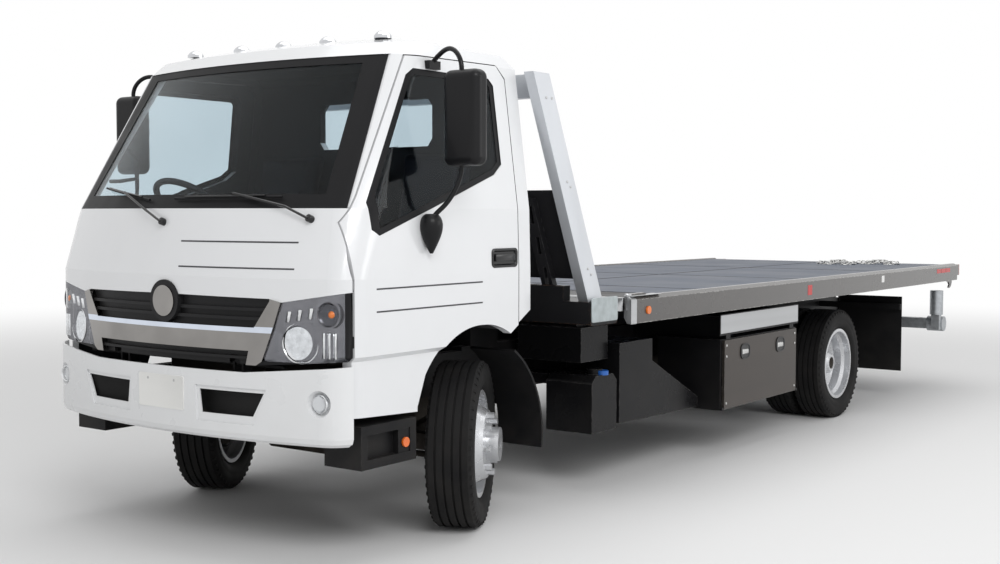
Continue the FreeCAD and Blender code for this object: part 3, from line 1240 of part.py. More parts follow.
node(fuse("winch_drum_all",
          rod("drum_shaft", "x", "winch_shaft", "2 * (winch_plate_gap + winch_plate)", "-winch_plate_gap - winch_plate",
              "winch_y", "winch_z"),
          rod("drum_core", "x", "drum_core", "2 * (%s)" % drum_end, "-(%s)" % drum_end, "winch_y", "winch_z"),
          rod("drum_flange_a", "x", "drum_flange", "drum_flange_wall", "-(%s)" % drum_end, "winch_y", "winch_z"),
          rod("drum_flange_b", "x", "drum_flange", "drum_flange_wall", drum_end + " - drum_flange_wall",
              "winch_y", "winch_z")), "winch_drum")

# Tilt cylinders: barrels pinned between lugs on the chassis and rods up to the tilt frame.
foot = at(mm("cylinder_x"), mm("barrel_y"), mm("barrel_z"))
eye = at(mm("cylinder_x"), mm("eye_y"), mm("eye_z"))
along = (eye - foot).normalize()
reach = (eye - foot).Length
across = Vector(1, 0, 0)
barrel_r, bore_r, rod_r = mm("barrel_radius"), mm("barrel_bore"), mm("rod_radius")
eye_r, pin_r = mm("eye_radius"), mm("eye_pin")
gap = 60
tube_shape = Part.makeCylinder(barrel_r, mm("barrel_length"), foot + along * gap, along)
tube_shape = tube_shape.cut(Part.makeCylinder(rod_r + 0.3, mm("barrel_length"), foot + along * (gap + 30), along))
foot_eye = Part.makeCylinder(eye_r, 2 * eye_r, foot - across * eye_r, across)
neck = Part.makeCylinder(eye_r * 0.8, gap + 10, foot + along * 5, along)
barrel = tube_shape.fuse([foot_eye, neck]).cut(Part.makeCylinder(pin_r + 0.3, 3 * eye_r, foot - across * 1.5 * eye_r, across))
node(feature("tilt_barrels", Part.makeCompound([barrel, flip(barrel)])), "tilt_barrels")
rod_start = foot + along * (gap + 60)
piston_rod = Part.makeCylinder(rod_r, reach - gap - 60 - eye_r + 6, rod_start, along)
rod_eye = Part.makeCylinder(eye_r, 2 * eye_r, eye - across * eye_r, across)
eye_pin = Part.makeCylinder(pin_r, 2 * eye_r + 6, eye - across * (eye_r + 3), across)
piston_rod = piston_rod.fuse([rod_eye, eye_pin])
node(feature("tilt_rods", Part.makeCompound([piston_rod, flip(piston_rod)])), "tilt_rods")


# Cab shell: a ruled stack of plan sections, each bowed at the front with round corners.
def cab_section(z, half_width, nose, bow, corner, back):
    """One closed plan outline. nose and back are counted from the front axle."""
    middle = nose + bow - math.sqrt((bow - corner) ** 2 - (half_width - corner) ** 2)
    share = bow / (bow - corner)
    touch_x = (half_width - corner) * share
    touch_y = nose + bow + (middle - nose - bow) * share
    lean = math.atan2(touch_y - middle, touch_x - half_width + corner) / 2
    bend_x = half_width - corner + corner * math.cos(lean)
    bend_y = middle + corner * math.sin(lean)
    edges = [
        Part.Arc(at(-touch_x, touch_y, z), at(0, nose, z), at(touch_x, touch_y, z)).toShape(),
        Part.Arc(at(touch_x, touch_y, z), at(bend_x, bend_y, z), at(half_width, middle, z)).toShape(),
        Part.makeLine(at(half_width, middle, z), at(half_width, back, z)),
        Part.makeLine(at(half_width, back, z), at(-half_width, back, z)),
        Part.makeLine(at(-half_width, back, z), at(-half_width, middle, z)),
        Part.Arc(at(-half_width, middle, z), at(-bend_x, bend_y, z), at(-touch_x, touch_y, z)).toShape()]
    return Part.Wire(edges)


def cab_block(inset):
    """The whole cab as one solid, drawn in by an even inset on every side but the bottom."""
    nose, back = -mm("cab_nose"), mm("cab_back")
    low = (mm("nose_bow"), mm("nose_corner"))
    foot_row = (mm("screen_bow"), mm("screen_corner"))
    head_row = (mm("head_bow"), mm("head_corner"))
    head_nose = nose + mm("screen_head_setback")
    levels = [
        (mm("cab_bottom") - inset, mm("cab_low_half_width"), nose, low, back),
        (mm("cab_waist"), mm("cab_low_half_width"), nose, low, back),
        (mm("cab_waist") + 20, mm("cab_half_width"), nose, low, back),
        (mm("cab_belt"), mm("cab_half_width"), nose, low, back),
        (mm("screen_foot"), mm("cab_half_width") - 8, nose + mm("screen_foot_setback"), foot_row, back),
        (mm("screen_head"), mm("cab_head_half_width"), head_nose, head_row, back),
        (mm("roof_edge") - inset * 0.6, mm("cab_head_half_width") - 34, head_nose + 70, head_row, back - 70),
        (mm("roof_top") - inset, mm("cab_head_half_width") - 150, head_nose + 200, head_row, back - 230)]
    wires = []
    for z, half, front, (bow, corner), rear in levels:
        wires.append(cab_section(z, half - inset, front + inset, bow - inset, max(corner - inset, 30), rear - inset))
    return Part.makeLoft(wires, True, True)


cab_outer = cab_block(0)
cab_wall = mm("cab_wall")
cab_inner = cab_block(cab_wall)
cab_shell = cab_outer.cut(cab_inner)
wide = mm("cab_half_width") + 200
panel_gap = mm("panel_gap")
door_front, door_rear = mm("door_front"), mm("door_rear")
foot_front, head_front = mm("door_foot_front"), mm("door_head_front")
screen_foot, screen_head = mm("screen_foot"), mm("screen_head")
door_head, door_bottom = mm("door_head"), mm("door_bottom")
nose_low = mm("nose_bottom")
back_y = mm("cab_back")


def door_outline(grow):
    """The door's shut line from the side, moved outwards by the panel gap where asked."""
    return [
        (-471 - grow, door_bottom - 3 * grow), (door_front - grow, door_bottom + 20 - 3 * grow),
        (door_front - grow, 1490 + grow / 2), (foot_front - grow, 1600 + grow / 2),
        (head_front - grow, door_head + grow),
        (door_rear - 60, door_head + 12 + grow), (door_rear + grow, door_head - 50 + grow),
        (door_rear + grow, 980 - 3 * grow), (215 + grow, 940 - 3 * grow)]


arch_cut = Part.Face(Part.Wire([
    Part.Arc(at(-wide, -415, 800), at(-wide, -150, 984), at(-wide, 0, mm("arch_height"))).toShape(),
    Part.Arc(at(-wide, 0, mm("arch_height")), at(-wide, 110, 986), at(-wide, 225, 938)).toShape(),
    Part.makeLine(at(-wide, 225, 938), at(-wide, 225, 500)),
    Part.makeLine(at(-wide, 225, 500), at(-wide, -471, 500)),
    Part.makeLine(at(-wide, -471, 500), at(-wide, -471, 660)),
    Part.makeLine(at(-wide, -471, 660), at(-wide, -415, 800))])).extrude(Vector(2 * wide, 0, 0))

# the door's windows, seen from the side: the wind-down glass and its fixed front quarter
window = [(-789, 1458), (-744, 1432), (119, 1715), (185, 1765), (184, 2150), (150, 2182), (-415, 2182), (-460, 2150),
          (-795, 1575)]
low_x = mm("cab_head_half_width") - 260
door_prism = prism_x(door_outline(0), low_x, wide)
door_gap_prism = prism_x(door_outline(panel_gap), low_x, wide).fuse(prism_x(door_outline(panel_gap), -wide, -low_x))
window_prism = prism_x(window, low_x, wide)
door_hinge = at(mm("hinge_x"), mm("hinge_y"), 0)
hinge_levels = (mm("hinge_low"), mm("hinge_high"))
hinge_tall = mm("hinge_height")
door_skin = cab_shell.common(door_prism).cut(arch_cut)
door_body = door_skin.cut(window_prism)
door_body = door_body.cut(slab((0, mm("hinge_x") - mm("door_corner_depth")), (-1000, -780), (1200, 1580)))
leaves = []
hinge_cover = cab_block(mm("hinge_skin"))
hinge_x, hinge_y = mm("hinge_x"), mm("hinge_y")
for z, straps in ((hinge_levels[0], [(60, 10, -18)]), (hinge_levels[1], [(46, 17, -50), (46, -2, -8)])):
    top = z + hinge_tall
    notch = Part.makeCylinder(mm("hinge_notch"), hinge_tall, door_hinge + Vector(0, 0, z))
    notch = notch.fuse([slab((hinge_x - 90, hinge_x), (door_front, hinge_y + 26), (z, top)),
                        slab((hinge_x - 90, hinge_x - 34), (door_front, hinge_y + 46), (z, top)),
                        slab((hinge_x - 90, hinge_x - 10), (door_front - 5, hinge_y + 26), (z - 14, z))])
    door_body = door_body.cut(notch.common(hinge_cover))
    leaf = Part.makeCylinder(18, hinge_tall - 0.6, door_hinge + Vector(0, 0, z + 0.3))
    arms = [slab((hinge_x - inner, hinge_x - outer), (hinge_y + ahead, hinge_y + 12), (z + 0.3, top - 0.3))
            for inner, outer, ahead in straps]
    pin_piece = Part.makeCylinder(mm("hinge_pin"), hinge_tall + 60, door_hinge + Vector(0, 0, z - 30))
    leaves.append(leaf.fuse(arms + [pin_piece]))
    door_body = door_body.cut(Part.makeCylinder(mm("hinge_pin") + 0.3, hinge_tall + 62, door_hinge + Vector(0, 0, z - 31)))
low_hinge, high_hinge = leaves
handle_y = (mm("handle_front"), mm("handle_rear"))
handle_z = (mm("handle_low"), mm("handle_high"))
pocket = slab((mm("cab_half_width") - 24, mm("cab_half_width") + 30), handle_y, handle_z)
pocket = pocket.makeFillet(18, [e for e in pocket.Edges if e.BoundBox.XLength > 1])
lever = slab((mm("cab_half_width") - 26, mm("cab_half_width") - 6), (handle_y[0] + 14, handle_y[1] - 34),
             (handle_z[0] + 46, handle_z[1] - 12))
door_body = door_body.cut(pocket).fuse(lever)
sweep_radius = 33
sweep = Part.makeCylinder(sweep_radius, 1600, door_hinge + Vector(0, 0, 0)).fuse(
    Part.makeCylinder(sweep_radius, 1600, Vector(-door_hinge.x, door_hinge.y, 0)))
low_sweep = sweep.common(slab((-wide, wide), (-1300, -700), (0, 1495)))

glass_shell = cab_block(mm("glass_inset")).cut(cab_block(mm("glass_inset") + mm("glass_wall")))
door_glass = glass_shell.common(window_prism)
node(feature("door_left", door_body), "door_left")
node(feature("door_right", flip(door_body)), "door_right")
node(feature("door_glass_left", door_glass), "door_glass_left")
node(feature("door_glass_right", flip(door_glass)), "door_glass_right")

# the lines at which the fixed panels meet: roof, pillars, screen, nose and back wall
screen_line_foot = (foot_front - 40, screen_foot)
screen_line_head = (head_front - 40, screen_head)
roof_region = prism_x([(-1400, screen_head), (head_front - 40, screen_head), (head_front - panel_gap, door_head + panel_gap),
                       (back_y + 60, door_head + panel_gap), (back_y + 60, 2600), (-1400, 2600)], -wide, wide)
nose_region = prism_x([(-1400, nose_low), (door_front - panel_gap, nose_low), (door_front - panel_gap, 1490),
                       (foot_front - 40, screen_foot), (-1400, screen_foot)], -wide, wide)
screen_region = prism_x([(-1400, screen_foot), (foot_front - 40, screen_foot), (head_front - 40, screen_head),
                         (-1400, screen_head)], -wide, wide)
back_region = slab((-wide, wide), (back_y - cab_wall, back_y + 60), (900, door_head + panel_gap))
pillar_region = prism_x([(door_front - panel_gap, 1490), (foot_front - 40, screen_foot), (head_front - 40, screen_head),
                         (head_front - panel_gap, door_head + panel_gap), (back_y - cab_wall, door_head + panel_gap),
                         (back_y - cab_wall, 900), (door_rear - 100, 900), (door_rear - 100, 1490)], -wide, wide)
back_slope = prism_x([(150, 915), (back_y + 5, 1052), (back_y + 60, 1052), (back_y + 60, 800), (150, 800)], -wide, wide)

roof = cab_shell.common(roof_region).cut(door_gap_prism)
node(feature("cab_roof", roof), "cab_roof")
pillars = cab_shell.common(pillar_region).cut(door_gap_prism).cut(back_slope).cut(arch_cut)
node(feature("cab_pillars", pillars), "cab_pillars")
rear_glass_prism = prism_y([(-370, 1880), (370, 1880), (400, 1920), (400, 2090), (370, 2130), (-370, 2130), (-400, 2090),
                            (-400, 1920)], 300, 460)
back_wall = cab_shell.common(back_region).cut(rear_glass_prism).cut(back_slope)
node(feature("cab_back_wall", back_wall), "cab_back_wall")
node(feature("rear_window", glass_shell.common(rear_glass_prism)), "rear_window")
node(feature("windscreen", glass_shell.common(screen_region)), "windscreen")

# openings in the nose, seen from the front: the grille between the two headlamps
corner_x, corner_z = mm("grille_corner_x"), mm("grille_corner_z")
waist_x, waist_z = mm("grille_waist_x"), mm("grille_waist_z")
grille_side = [(corner_x, corner_z), (632, 1030), (waist_x, waist_z), (545, nose_low)]
lamp_outline = [(corner_x, corner_z), (1100, 1215), (1100, 905), (900, 900), (545, nose_low), (waist_x, waist_z), (632, 1030)]
grille_outline = grille_side + [(-x, z) for x, z in reversed(grille_side)] + [(-610, corner_z + 14), (0, corner_z + 20),
                                                                               (610, corner_z + 14)]
lamp_prism = prism_y(lamp_outline, -1300, -700)
grille_prism = prism_y(grille_outline, -1300, -700)
nose = cab_shell.common(nose_region)
low_nose = prism_y([(545, nose_low), (900, 900), (1100, 905), (1100, 700), (545, 700)], -1300, -700)
nose = nose.cut(low_nose).cut(flip(low_nose)).cut(low_sweep)
pivot_z, pivot_y, pivot_x = mm("cab_pivot_z"), mm("cab_pivot_y"), mm("cab_pivot_x")
pivot_half = mm("cab_pivot_gap") + mm("cab_pivot_lug")
pivot_rooms = []
for x in (-pivot_x, pivot_x):
    pivot_rooms.append(slab((x - pivot_half - 8, x + pivot_half + 8), (pivot_y - 60, -800), (pivot_z - 60, pivot_z + 25)))
nose = nose.cut(pivot_rooms)
badge_at = at(0, -mm("cab_nose") - mm("grille_proud") - 2, mm("badge_z"))
badge_hole = Part.makeCylinder(mm("badge_radius") + 0.3, 100, badge_at + Vector(0, -20, 0), Vector(0, 1, 0))
nose_frame = nose.cut(lamp_prism).cut(flip(lamp_prism)).cut(grille_prism).cut(badge_hole)
node(feature("cab_nose", nose_frame.fuse([high_hinge, flip(high_hinge)])), "cab_nose")

# Headlamps: a clear lens flush with the nose over a housing with a deep bowl and a signal bowl beside it.
lamp = nose.common(lamp_prism)
lens_back = cab_block(mm("lens_wall"))
lens = lamp.cut(lens_back)
housing = lamp.common(lens_back)


def nose_face(x, bow):
    """Where the front of the cab is at a distance from its middle."""
    return bow - mm("cab_nose") - math.sqrt(bow ** 2 - x ** 2)


for x, z, radius, setback in ((mm("bowl_x"), mm("bowl_z"), mm("bowl_radius"), mm("bowl_setback")),
                              (mm("signal_x"), mm("signal_z"), mm("signal_radius"), mm("signal_setback"))):
    housing = housing.cut(Part.makeSphere(radius, at(x, nose_face(x, mm("nose_bow")) - setback, z)))
node(feature("headlamps", Part.makeCompound([lens, flip(lens)])), "headlamps")
node(feature("headlamp_housings", Part.makeCompound([housing, flip(housing)])), "headlamp_housings")

# Grille: a bright surround with an upper and a lower opening, and behind them a black panel with bars
# and a round boss that carries a plain disc.
proud, grille_wall, grille_back = mm("grille_proud"), mm("grille_wall"), mm("grille_back")
band_low, band_high = mm("band_bottom"), mm("band_top")
upper_opening = prism_y([(-537, band_high), (537, band_high), (618, corner_z + 4), (618, 1300), (-618, 1300),
                         (-618, corner_z + 4)], -1300, -700)
lower_opening = prism_y([(-506, band_low), (506, band_low), (486, nose_low - 20), (-486, nose_low - 20)], -1300, -700)
surround = cab_block(-proud).cut(cab_block(grille_wall)).common(grille_prism)
surround = surround.cut([upper_opening, lower_opening] + pivot_rooms)
panel = cab_block(grille_wall).cut(cab_block(grille_back)).common(grille_prism).cut([badge_hole] + pivot_rooms)
bar_shell = cab_block(proud).cut(cab_block(grille_wall + 2))
for z in (1066, 1106):
    panel = panel.fuse(bar_shell.common(upper_opening).common(grille_prism).cut(badge_hole).common(
        slab((-700, 700), (-1300, -700), (z, z + 14))))
low_bar = bar_shell.common(lower_opening).common(slab((-700, 700), (-1300, -700), (896, 908)))
panel = panel.fuse(low_bar).cut(pivot_rooms)
boss = Part.makeCylinder(mm("badge_radius"), mm("grille_back") + mm("grille_proud"), badge_at, Vector(0, 1, 0))
badge = Part.makeCylinder(mm("badge_plate"), 5, badge_at + Vector(0, -5, 0), Vector(0, 1, 0))
boss_web = slab((-mm("badge_radius") - 6, mm("badge_radius") + 6), (-1058, -1050), (mm("badge_z") - 60, mm("badge_z") + 10))
node(feature("grille", panel.fuse([boss, boss_web])), "grille")
node(feature("grille_surround", Part.makeCompound([surround, badge])), "grille_surround")

# Cab floor: a front footwell, the cover over the engine and the inner wheel arches.
cab_room = cab_block(cab_wall + 0.3)
floor_t, floor_z, tunnel_y = mm("floor_wall"), mm("floor_z"), mm("tunnel_y")
floor_half, tunnel_top = mm("floor_half"), mm("tunnel_top")
foot_plate = slab((-floor_half, floor_half), (-1200, tunnel_y + floor_t), (floor_z, floor_z + floor_t))
step_wall = slab((-floor_half, floor_half), (tunnel_y, tunnel_y + floor_t), (870, tunnel_top))
cover = slab((-floor_half, floor_half), (tunnel_y, back_y - cab_wall), (tunnel_top - floor_t, tunnel_top))
inner_arch = Part.makeCylinder(mm("inner_arch_radius") + 10, 2 * floor_half, at(-floor_half, 0, axle_z), Vector(1, 0, 0))
inner_arch = inner_arch.cut(Part.makeCylinder(mm("inner_arch_radius"), 2 * floor_half, at(-floor_half, 0, axle_z), Vector(1, 0, 0)))
inner_arch = inner_arch.common(slab((-floor_half, floor_half), (tunnel_y + 5, 235), (850, 1100)))
inner_arch = inner_arch.cut(slab((-430, 430), (-600, 600), (700, 1100)))
arch_posts = [slab((s * 760 - 20, s * 760 + 20), (-20, 20), (axle_z + mm("inner_arch_radius"), tunnel_top - floor_t)) for s in (-1, 1)]
arm_half = mm("cab_pivot_gap") - 3
pivot_arm = prism_x([(pivot_y - 24, pivot_z), (pivot_y + 24, pivot_z), (pivot_y + 30, floor_z), (pivot_y - 30, floor_z)],
                    pivot_x - arm_half, pivot_x + arm_half)
pivot_boss = Part.makeCylinder(mm("cab_pivot_half"), 2 * arm_half, at(pivot_x - arm_half, pivot_y, pivot_z), Vector(1, 0, 0))
pivot_bore = Part.makeCylinder(mm("cab_pivot_radius") + 0.05, 80, at(pivot_x - 40, pivot_y, pivot_z), Vector(1, 0, 0))
pivot_arm = pivot_arm.fuse(pivot_boss).cut(pivot_bore)
floor_parts = foot_plate.common(cab_room).fuse([step_wall, cover, inner_arch] + arch_posts)
floor_parts = floor_parts.fuse([pivot_arm, flip(pivot_arm), low_hinge, flip(low_hinge)])
node(feature("cab_floor", floor_parts), "cab_floor")

# Dashboard, seats and steering wheel.
dash = prism_x([(-1200, mm("dash_bottom")), (mm("dash_rear") - 60, mm("dash_bottom")), (mm("dash_rear"), mm("dash_top") - 90),
                (mm("dash_rear") - 70, mm("dash_top")), (-1200, mm("dash_top"))], -mm("dash_half"), mm("dash_half"))
node(feature("dashboard", dash.common(cab_room)), "dashboard")
seat_parts = []
seat_low, seat_tall = mm("seat_base") + 0.3, mm("seat_height")
for x, half in ((mm("seat_x"), mm("seat_half_width")), (-mm("seat_x"), mm("seat_half_width")), (0, mm("middle_seat_half"))):
    cushion = slab((x - half, x + half), (mm("seat_front"), mm("seat_rear")), (seat_low, seat_low + seat_tall))
    squab = prism_x([(mm("seat_rear") - 20, seat_low), (mm("seat_rear") - 20 + mm("seat_back_wall"), seat_low),
                     (mm("seat_rear") + 20 + mm("seat_back_wall"), mm("seat_back_top")), (mm("seat_rear") + 40, mm("seat_back_top"))],
                    x - half, x + half)
    seat = cushion.fuse(squab).removeSplitter()
    rounds = [e for e in seat.Edges if e.Length > 2 * half - 1 and e.BoundBox.ZMin > seat_low + 10]
    seat_parts.append(seat.makeFillet(35, rounds))
node(feature("seats", Part.makeCompound(seat_parts)), "seats")
hub_point = at(mm("wheel_x"), mm("wheel_y"), mm("wheel_z"))
lean_axis = Vector(0, math.cos(math.radians(90 - mm("wheel_tilt"))), math.sin(math.radians(90 - mm("wheel_tilt"))))
ring = Part.makeTorus(mm("wheel_ring"), mm("wheel_tube"), hub_point, lean_axis)
boss = Part.makeCylinder(60, 40, hub_point - lean_axis * 40, lean_axis)
column_run = 260
column = Part.makeCylinder(32, column_run, hub_point - lean_axis * (column_run + 30), lean_axis)
spokes = [Part.makeBox(2 * mm("wheel_ring"), 34, 14, Vector(-mm("wheel_ring"), -17, -24))]
spokes[0].Placement = Placement(hub_point, Rotation(Vector(0, 0, 1), lean_axis))
wheel_all = ring.fuse([boss, column] + spokes).cut(dash)
node(feature("steering_wheel", wheel_all), "steering_wheel")

# Five clear marker lamps in a row along the roof's front edge.
lamps = []
for x in (-mm("lamp_outer_x"), -mm("lamp_inner_x"), 0, mm("lamp_inner_x"), mm("lamp_outer_x")):
    base = Part.makeCylinder(mm("lamp_radius"), mm("lamp_base"), at(x, mm("lamp_y"), mm("roof_top")))
    dome_r = (mm("lamp_radius") ** 2 + mm("lamp_height") ** 2) / (2 * mm("lamp_height"))
    top_z = mm("roof_top") + mm("lamp_base") + mm("lamp_height")
    dome = Part.makeSphere(dome_r, at(x, mm("lamp_y"), top_z - dome_r))
    keep = slab((x - 60, x + 60), (mm("lamp_y") - 60, mm("lamp_y") + 60), (mm("roof_top") + mm("lamp_base"), top_z + 5))
    lamps.append(base.fuse(dome.common(keep)))
node(feature("roof_lamps", Part.makeCompound(lamps)), "roof_lamps")

# Mirrors: a rounded head on two bent tubes, the lower one from a drop-shaped base on the door.
mirror_x, mirror_y = mm("mirror_x"), mm("mirror_y")
half_w, depth = mm("mirror_half_width"), mm("mirror_depth")
head = slab((mirror_x - half_w, mirror_x + half_w), (mirror_y - depth / 2, mirror_y + depth / 2),
            (mm("mirror_bottom"), mm("mirror_top")))
head = head.makeFillet(mm("mirror_round"), head.Edges)
arm_r = mm("mirror_arm_radius")


def tube_between(start, end, radius):
    run = end - start
    return Part.makeCylinder(radius, run.Length, start, run)


def bent_tube(points, radius):
    """A tube whose middle line runs smoothly through the points."""
    curve = Part.BSplineCurve()
    curve.interpolate(points)
    start = curve.tangent(curve.FirstParameter)[0]
    ring = Part.Wire([Part.makeCircle(radius, points[0], start)])
    return Part.Wire([curve.toShape()]).makePipeShell([ring], True, True)


high_arm = bent_tube([at(905, mirror_y + 58, 2206), at(968, mirror_y + 50, 2252), at(1060, mirror_y + 18, 2264),
                      at(mirror_x - 36, mirror_y, 2226), at(mirror_x - 30, mirror_y, 2120)], arm_r)
low_arm = bent_tube([at(mirror_x - 22, mirror_y, mm("mirror_bottom") + 40), at(mirror_x - 44, mirror_y - 14, 1640),
                     at(mirror_x - 84, mirror_y - 50, 1560), at(1026, mirror_y - 78, 1505), at(1020, mirror_y - 80, 1470)],
                    arm_r)
knuckle_rings = []
for z, radius in ((1527, 24), (1505, 46), (1478, 52), (1430, 44), (1385, 25), (1350, 7)):
    knuckle_rings.append(Part.Wire([Part.makeCircle(radius, at(1020, mirror_y - 80, z))]))
arm_base = Part.makeLoft(knuckle_rings, True, False)
arms = [high_arm, low_arm, arm_base]
feet = [slab((880, 930), (mirror_y + 20, mirror_y + 100), (2186, 2224))]
mirror = head.fuse(arms + feet).cut(cab_block(-0.3))
mirror = sorted(mirror.Solids, key=lambda s: s.Volume)[-1]
node(feature("mirror_left", mirror), "mirror_left")
node(feature("mirror_right", flip(mirror)), "mirror_right")


# Front bumper: a pressed shell outside the lower nose, open behind, on brackets from the rails.
bumper_low, bumper_high = mm("bumper_bottom"), mm("bumper_corner_top")
skin_in = mm("bumper_outset")
skin_out = skin_in + mm("bumper_wall")
tuck = mm("bumper_tuck")


def bumper_section(outset, z):
    half = mm("cab_low_half_width") + outset
    nose = -mm("bumper_face") + (mm("bumper_outset") + mm("bumper_wall") - outset)
    return cab_section(z, half, nose, mm("nose_bow"), mm("nose_corner") + outset, 0)


def bumper_block(outset, z_low, z_high):
    """The bumper's plan outline pulled up between two heights."""
    return Part.Face(bumper_section(outset, z_low)).extrude(Vector(0, 0, z_high - z_low))


def tucked_block(outset, drop):
    """The same with its lower edge drawn in, from a little below the bumper's bottom to above its top."""
    sections = [bumper_section(outset - tuck, bumper_low - drop), bumper_section(outset - tuck * 0.3, bumper_low + tuck * 0.6),
                bumper_section(outset, bumper_low + tuck * 1.6), bumper_section(outset, bumper_high + drop)]
    return Part.makeLoft(sections, True, True)


bumper_outer = tucked_block(skin_out, 0)
bumper = bumper_outer.cut(tucked_block(skin_in, 10))
flat_half, flat_top = mm("bumper_flat_half"), mm("bumper_top")
above = prism_y([(-1100, bumper_high + 1), (-flat_half, flat_top), (flat_half, flat_top), (1100, bumper_high + 1), (1100, 1100),
                 (-1100, 1100)], -1300, 100)
behind = slab((-wide, wide), (mm("bumper_end"), 400), (400, 1100))
bumper = bumper.cut(above).cut(behind)
slot_in, slot_out, slot_foot = mm("slot_inner_x"), mm("slot_outer_x"), mm("slot_foot_x")
slot_low, slot_high, margin = mm("slot_bottom"), mm("slot_top"), mm("recess_margin")
slot = prism_y([(slot_in, slot_high), (slot_out, slot_high), (slot_foot, slot_low), (slot_in + 14, slot_low)], -1300, -900)
recess = prism_y([(slot_in - margin, slot_high + margin), (slot_out + margin, slot_high + margin),
                  (slot_foot + 8, slot_low - 2 * margin), (slot_in - margin + 8, slot_low - 2 * margin)], -1300, -900)
recess_rim = prism_y([(slot_in - margin - 9, slot_high + margin + 7), (slot_out + margin + 12, slot_high + margin + 7),
                      (slot_foot + 15, slot_low - 2 * margin - 7), (slot_in - margin - 1, slot_low - 2 * margin - 7)], -1300, -900)
pocket_wall = bumper_block(skin_in + 2, bumper_low + 40, flat_top - 20).cut(bumper_block(skin_in - 4, bumper_low, flat_top))
pocket_wall = pocket_wall.common(recess_rim)
for tool in (recess, flip(recess)):
    bumper = bumper.cut(tool)
bumper = bumper.fuse([pocket_wall, flip(pocket_wall)]).cut(slot).cut(flip(slot))

# fog lamps: a lens at the bottom of a round dish in each end of the bumper
fog_x, fog_z, fog_r = mm("fog_x"), mm("fog_z"), mm("fog_radius")
sight = Part.makeLine(at(fog_x, -1300, fog_z), at(fog_x, -600, fog_z)).common(bumper_outer)
fog_point = Vector(fog_x, sight.BoundBox.YMin, fog_z)
fog_way = Vector(-0.3, 0.954, 0).normalize()
dish_start = fog_point - fog_way * 15
dish_run = 15 + mm("fog_depth")
dish = Part.makeCone(mm("fog_mouth"), fog_r + 8, dish_run, dish_start, fog_way)
dish_shell = Part.makeCone(mm("fog_mouth") + 6, fog_r + 14, dish_run, dish_start, fog_way)
dish_shell = dish_shell.fuse(Part.makeCylinder(fog_r + 14, 6, dish_start + fog_way * dish_run, fog_way)).common(bumper_outer)
dish_shell = dish_shell.cut(dish)
for tool, shell in ((dish, dish_shell), (flip(dish), flip(dish_shell))):
    bumper = bumper.cut(tool).fuse(shell)
fog_lens = Part.makeCylinder(fog_r, 20, dish_start + fog_way * (dish_run - 20), fog_way)
fog_ball = 1.6 * fog_r
fog_dome = Part.makeSphere(fog_ball, dish_start + fog_way * (dish_run - 28 + fog_ball))
fog_dome = fog_dome.common(Part.makeCylinder(fog_r, 40, dish_start + fog_way * (dish_run - 42), fog_way))
fog_dome = fog_dome.cut(Part.makeCylinder(2 * fog_r, 200, dish_start + fog_way * (dish_run - 12), fog_way))
fog_lens = fog_lens.common(fog_dome.fuse(Part.makeCylinder(fog_r, 12.5, dish_start + fog_way * (dish_run - 12.5), fog_way)))
step_marker = Part.makeCylinder(mm("marker_radius"), mm("marker_wall"),
                                at(mm("step_outer_x") - 6, mm("step_marker_y"), mm("step_marker_z")), Vector(1, 0, 0))
bulbs = [fog_lens, flip(fog_lens), step_marker, flip(step_marker)]
node(feature("chassis_lamps", Part.makeCompound(bulbs)), "chassis_lamps")

bracket = slab((mm("rail_half_spread") - 70, mm("rail_half_spread")), (-1098, -mm("rail_front")), (600, 640))
bracket = bracket.cut(slab((0, 1000), (-1300, -1000), (0, 1000)).cut(bumper_block(skin_in, 0, 1000)))
bumper = bumper.cut(low_sweep)
for x in (-mm("plate_hole_spacing") / 2, mm("plate_hole_spacing") / 2):
    hole = Part.makeCylinder(mm("plate_hole_radius"), 60, at(x, -mm("bumper_face") - 20, mm("plate_hole_z")), Vector(0, 1, 0))
    bumper = bumper.cut(hole)
node(feature("front_bumper", bumper.fuse([bracket, flip(bracket)])), "front_bumper")

doc.recompute()

os.makedirs("parts", exist_ok=True)
for thing in doc.Objects:
    if any(word in thing.State for word in ("Invalid", "Error")):
        raise SystemExit("%s failed: %s" % (thing.Label, thing.State))
for thing in nodes:
    if thing.Shape.isNull() or not thing.Shape.isValid() or not thing.Shape.Solids:
        raise SystemExit("%s has no valid solid" % thing.Label)
for thing in nodes:
    thing.Shape.exportStep("parts/%s.step" % thing.Label)
print("%d sub-parts written" % len(nodes))
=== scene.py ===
import bpy
import bmesh
import json
import math
from mathutils import Euler, Matrix, Vector

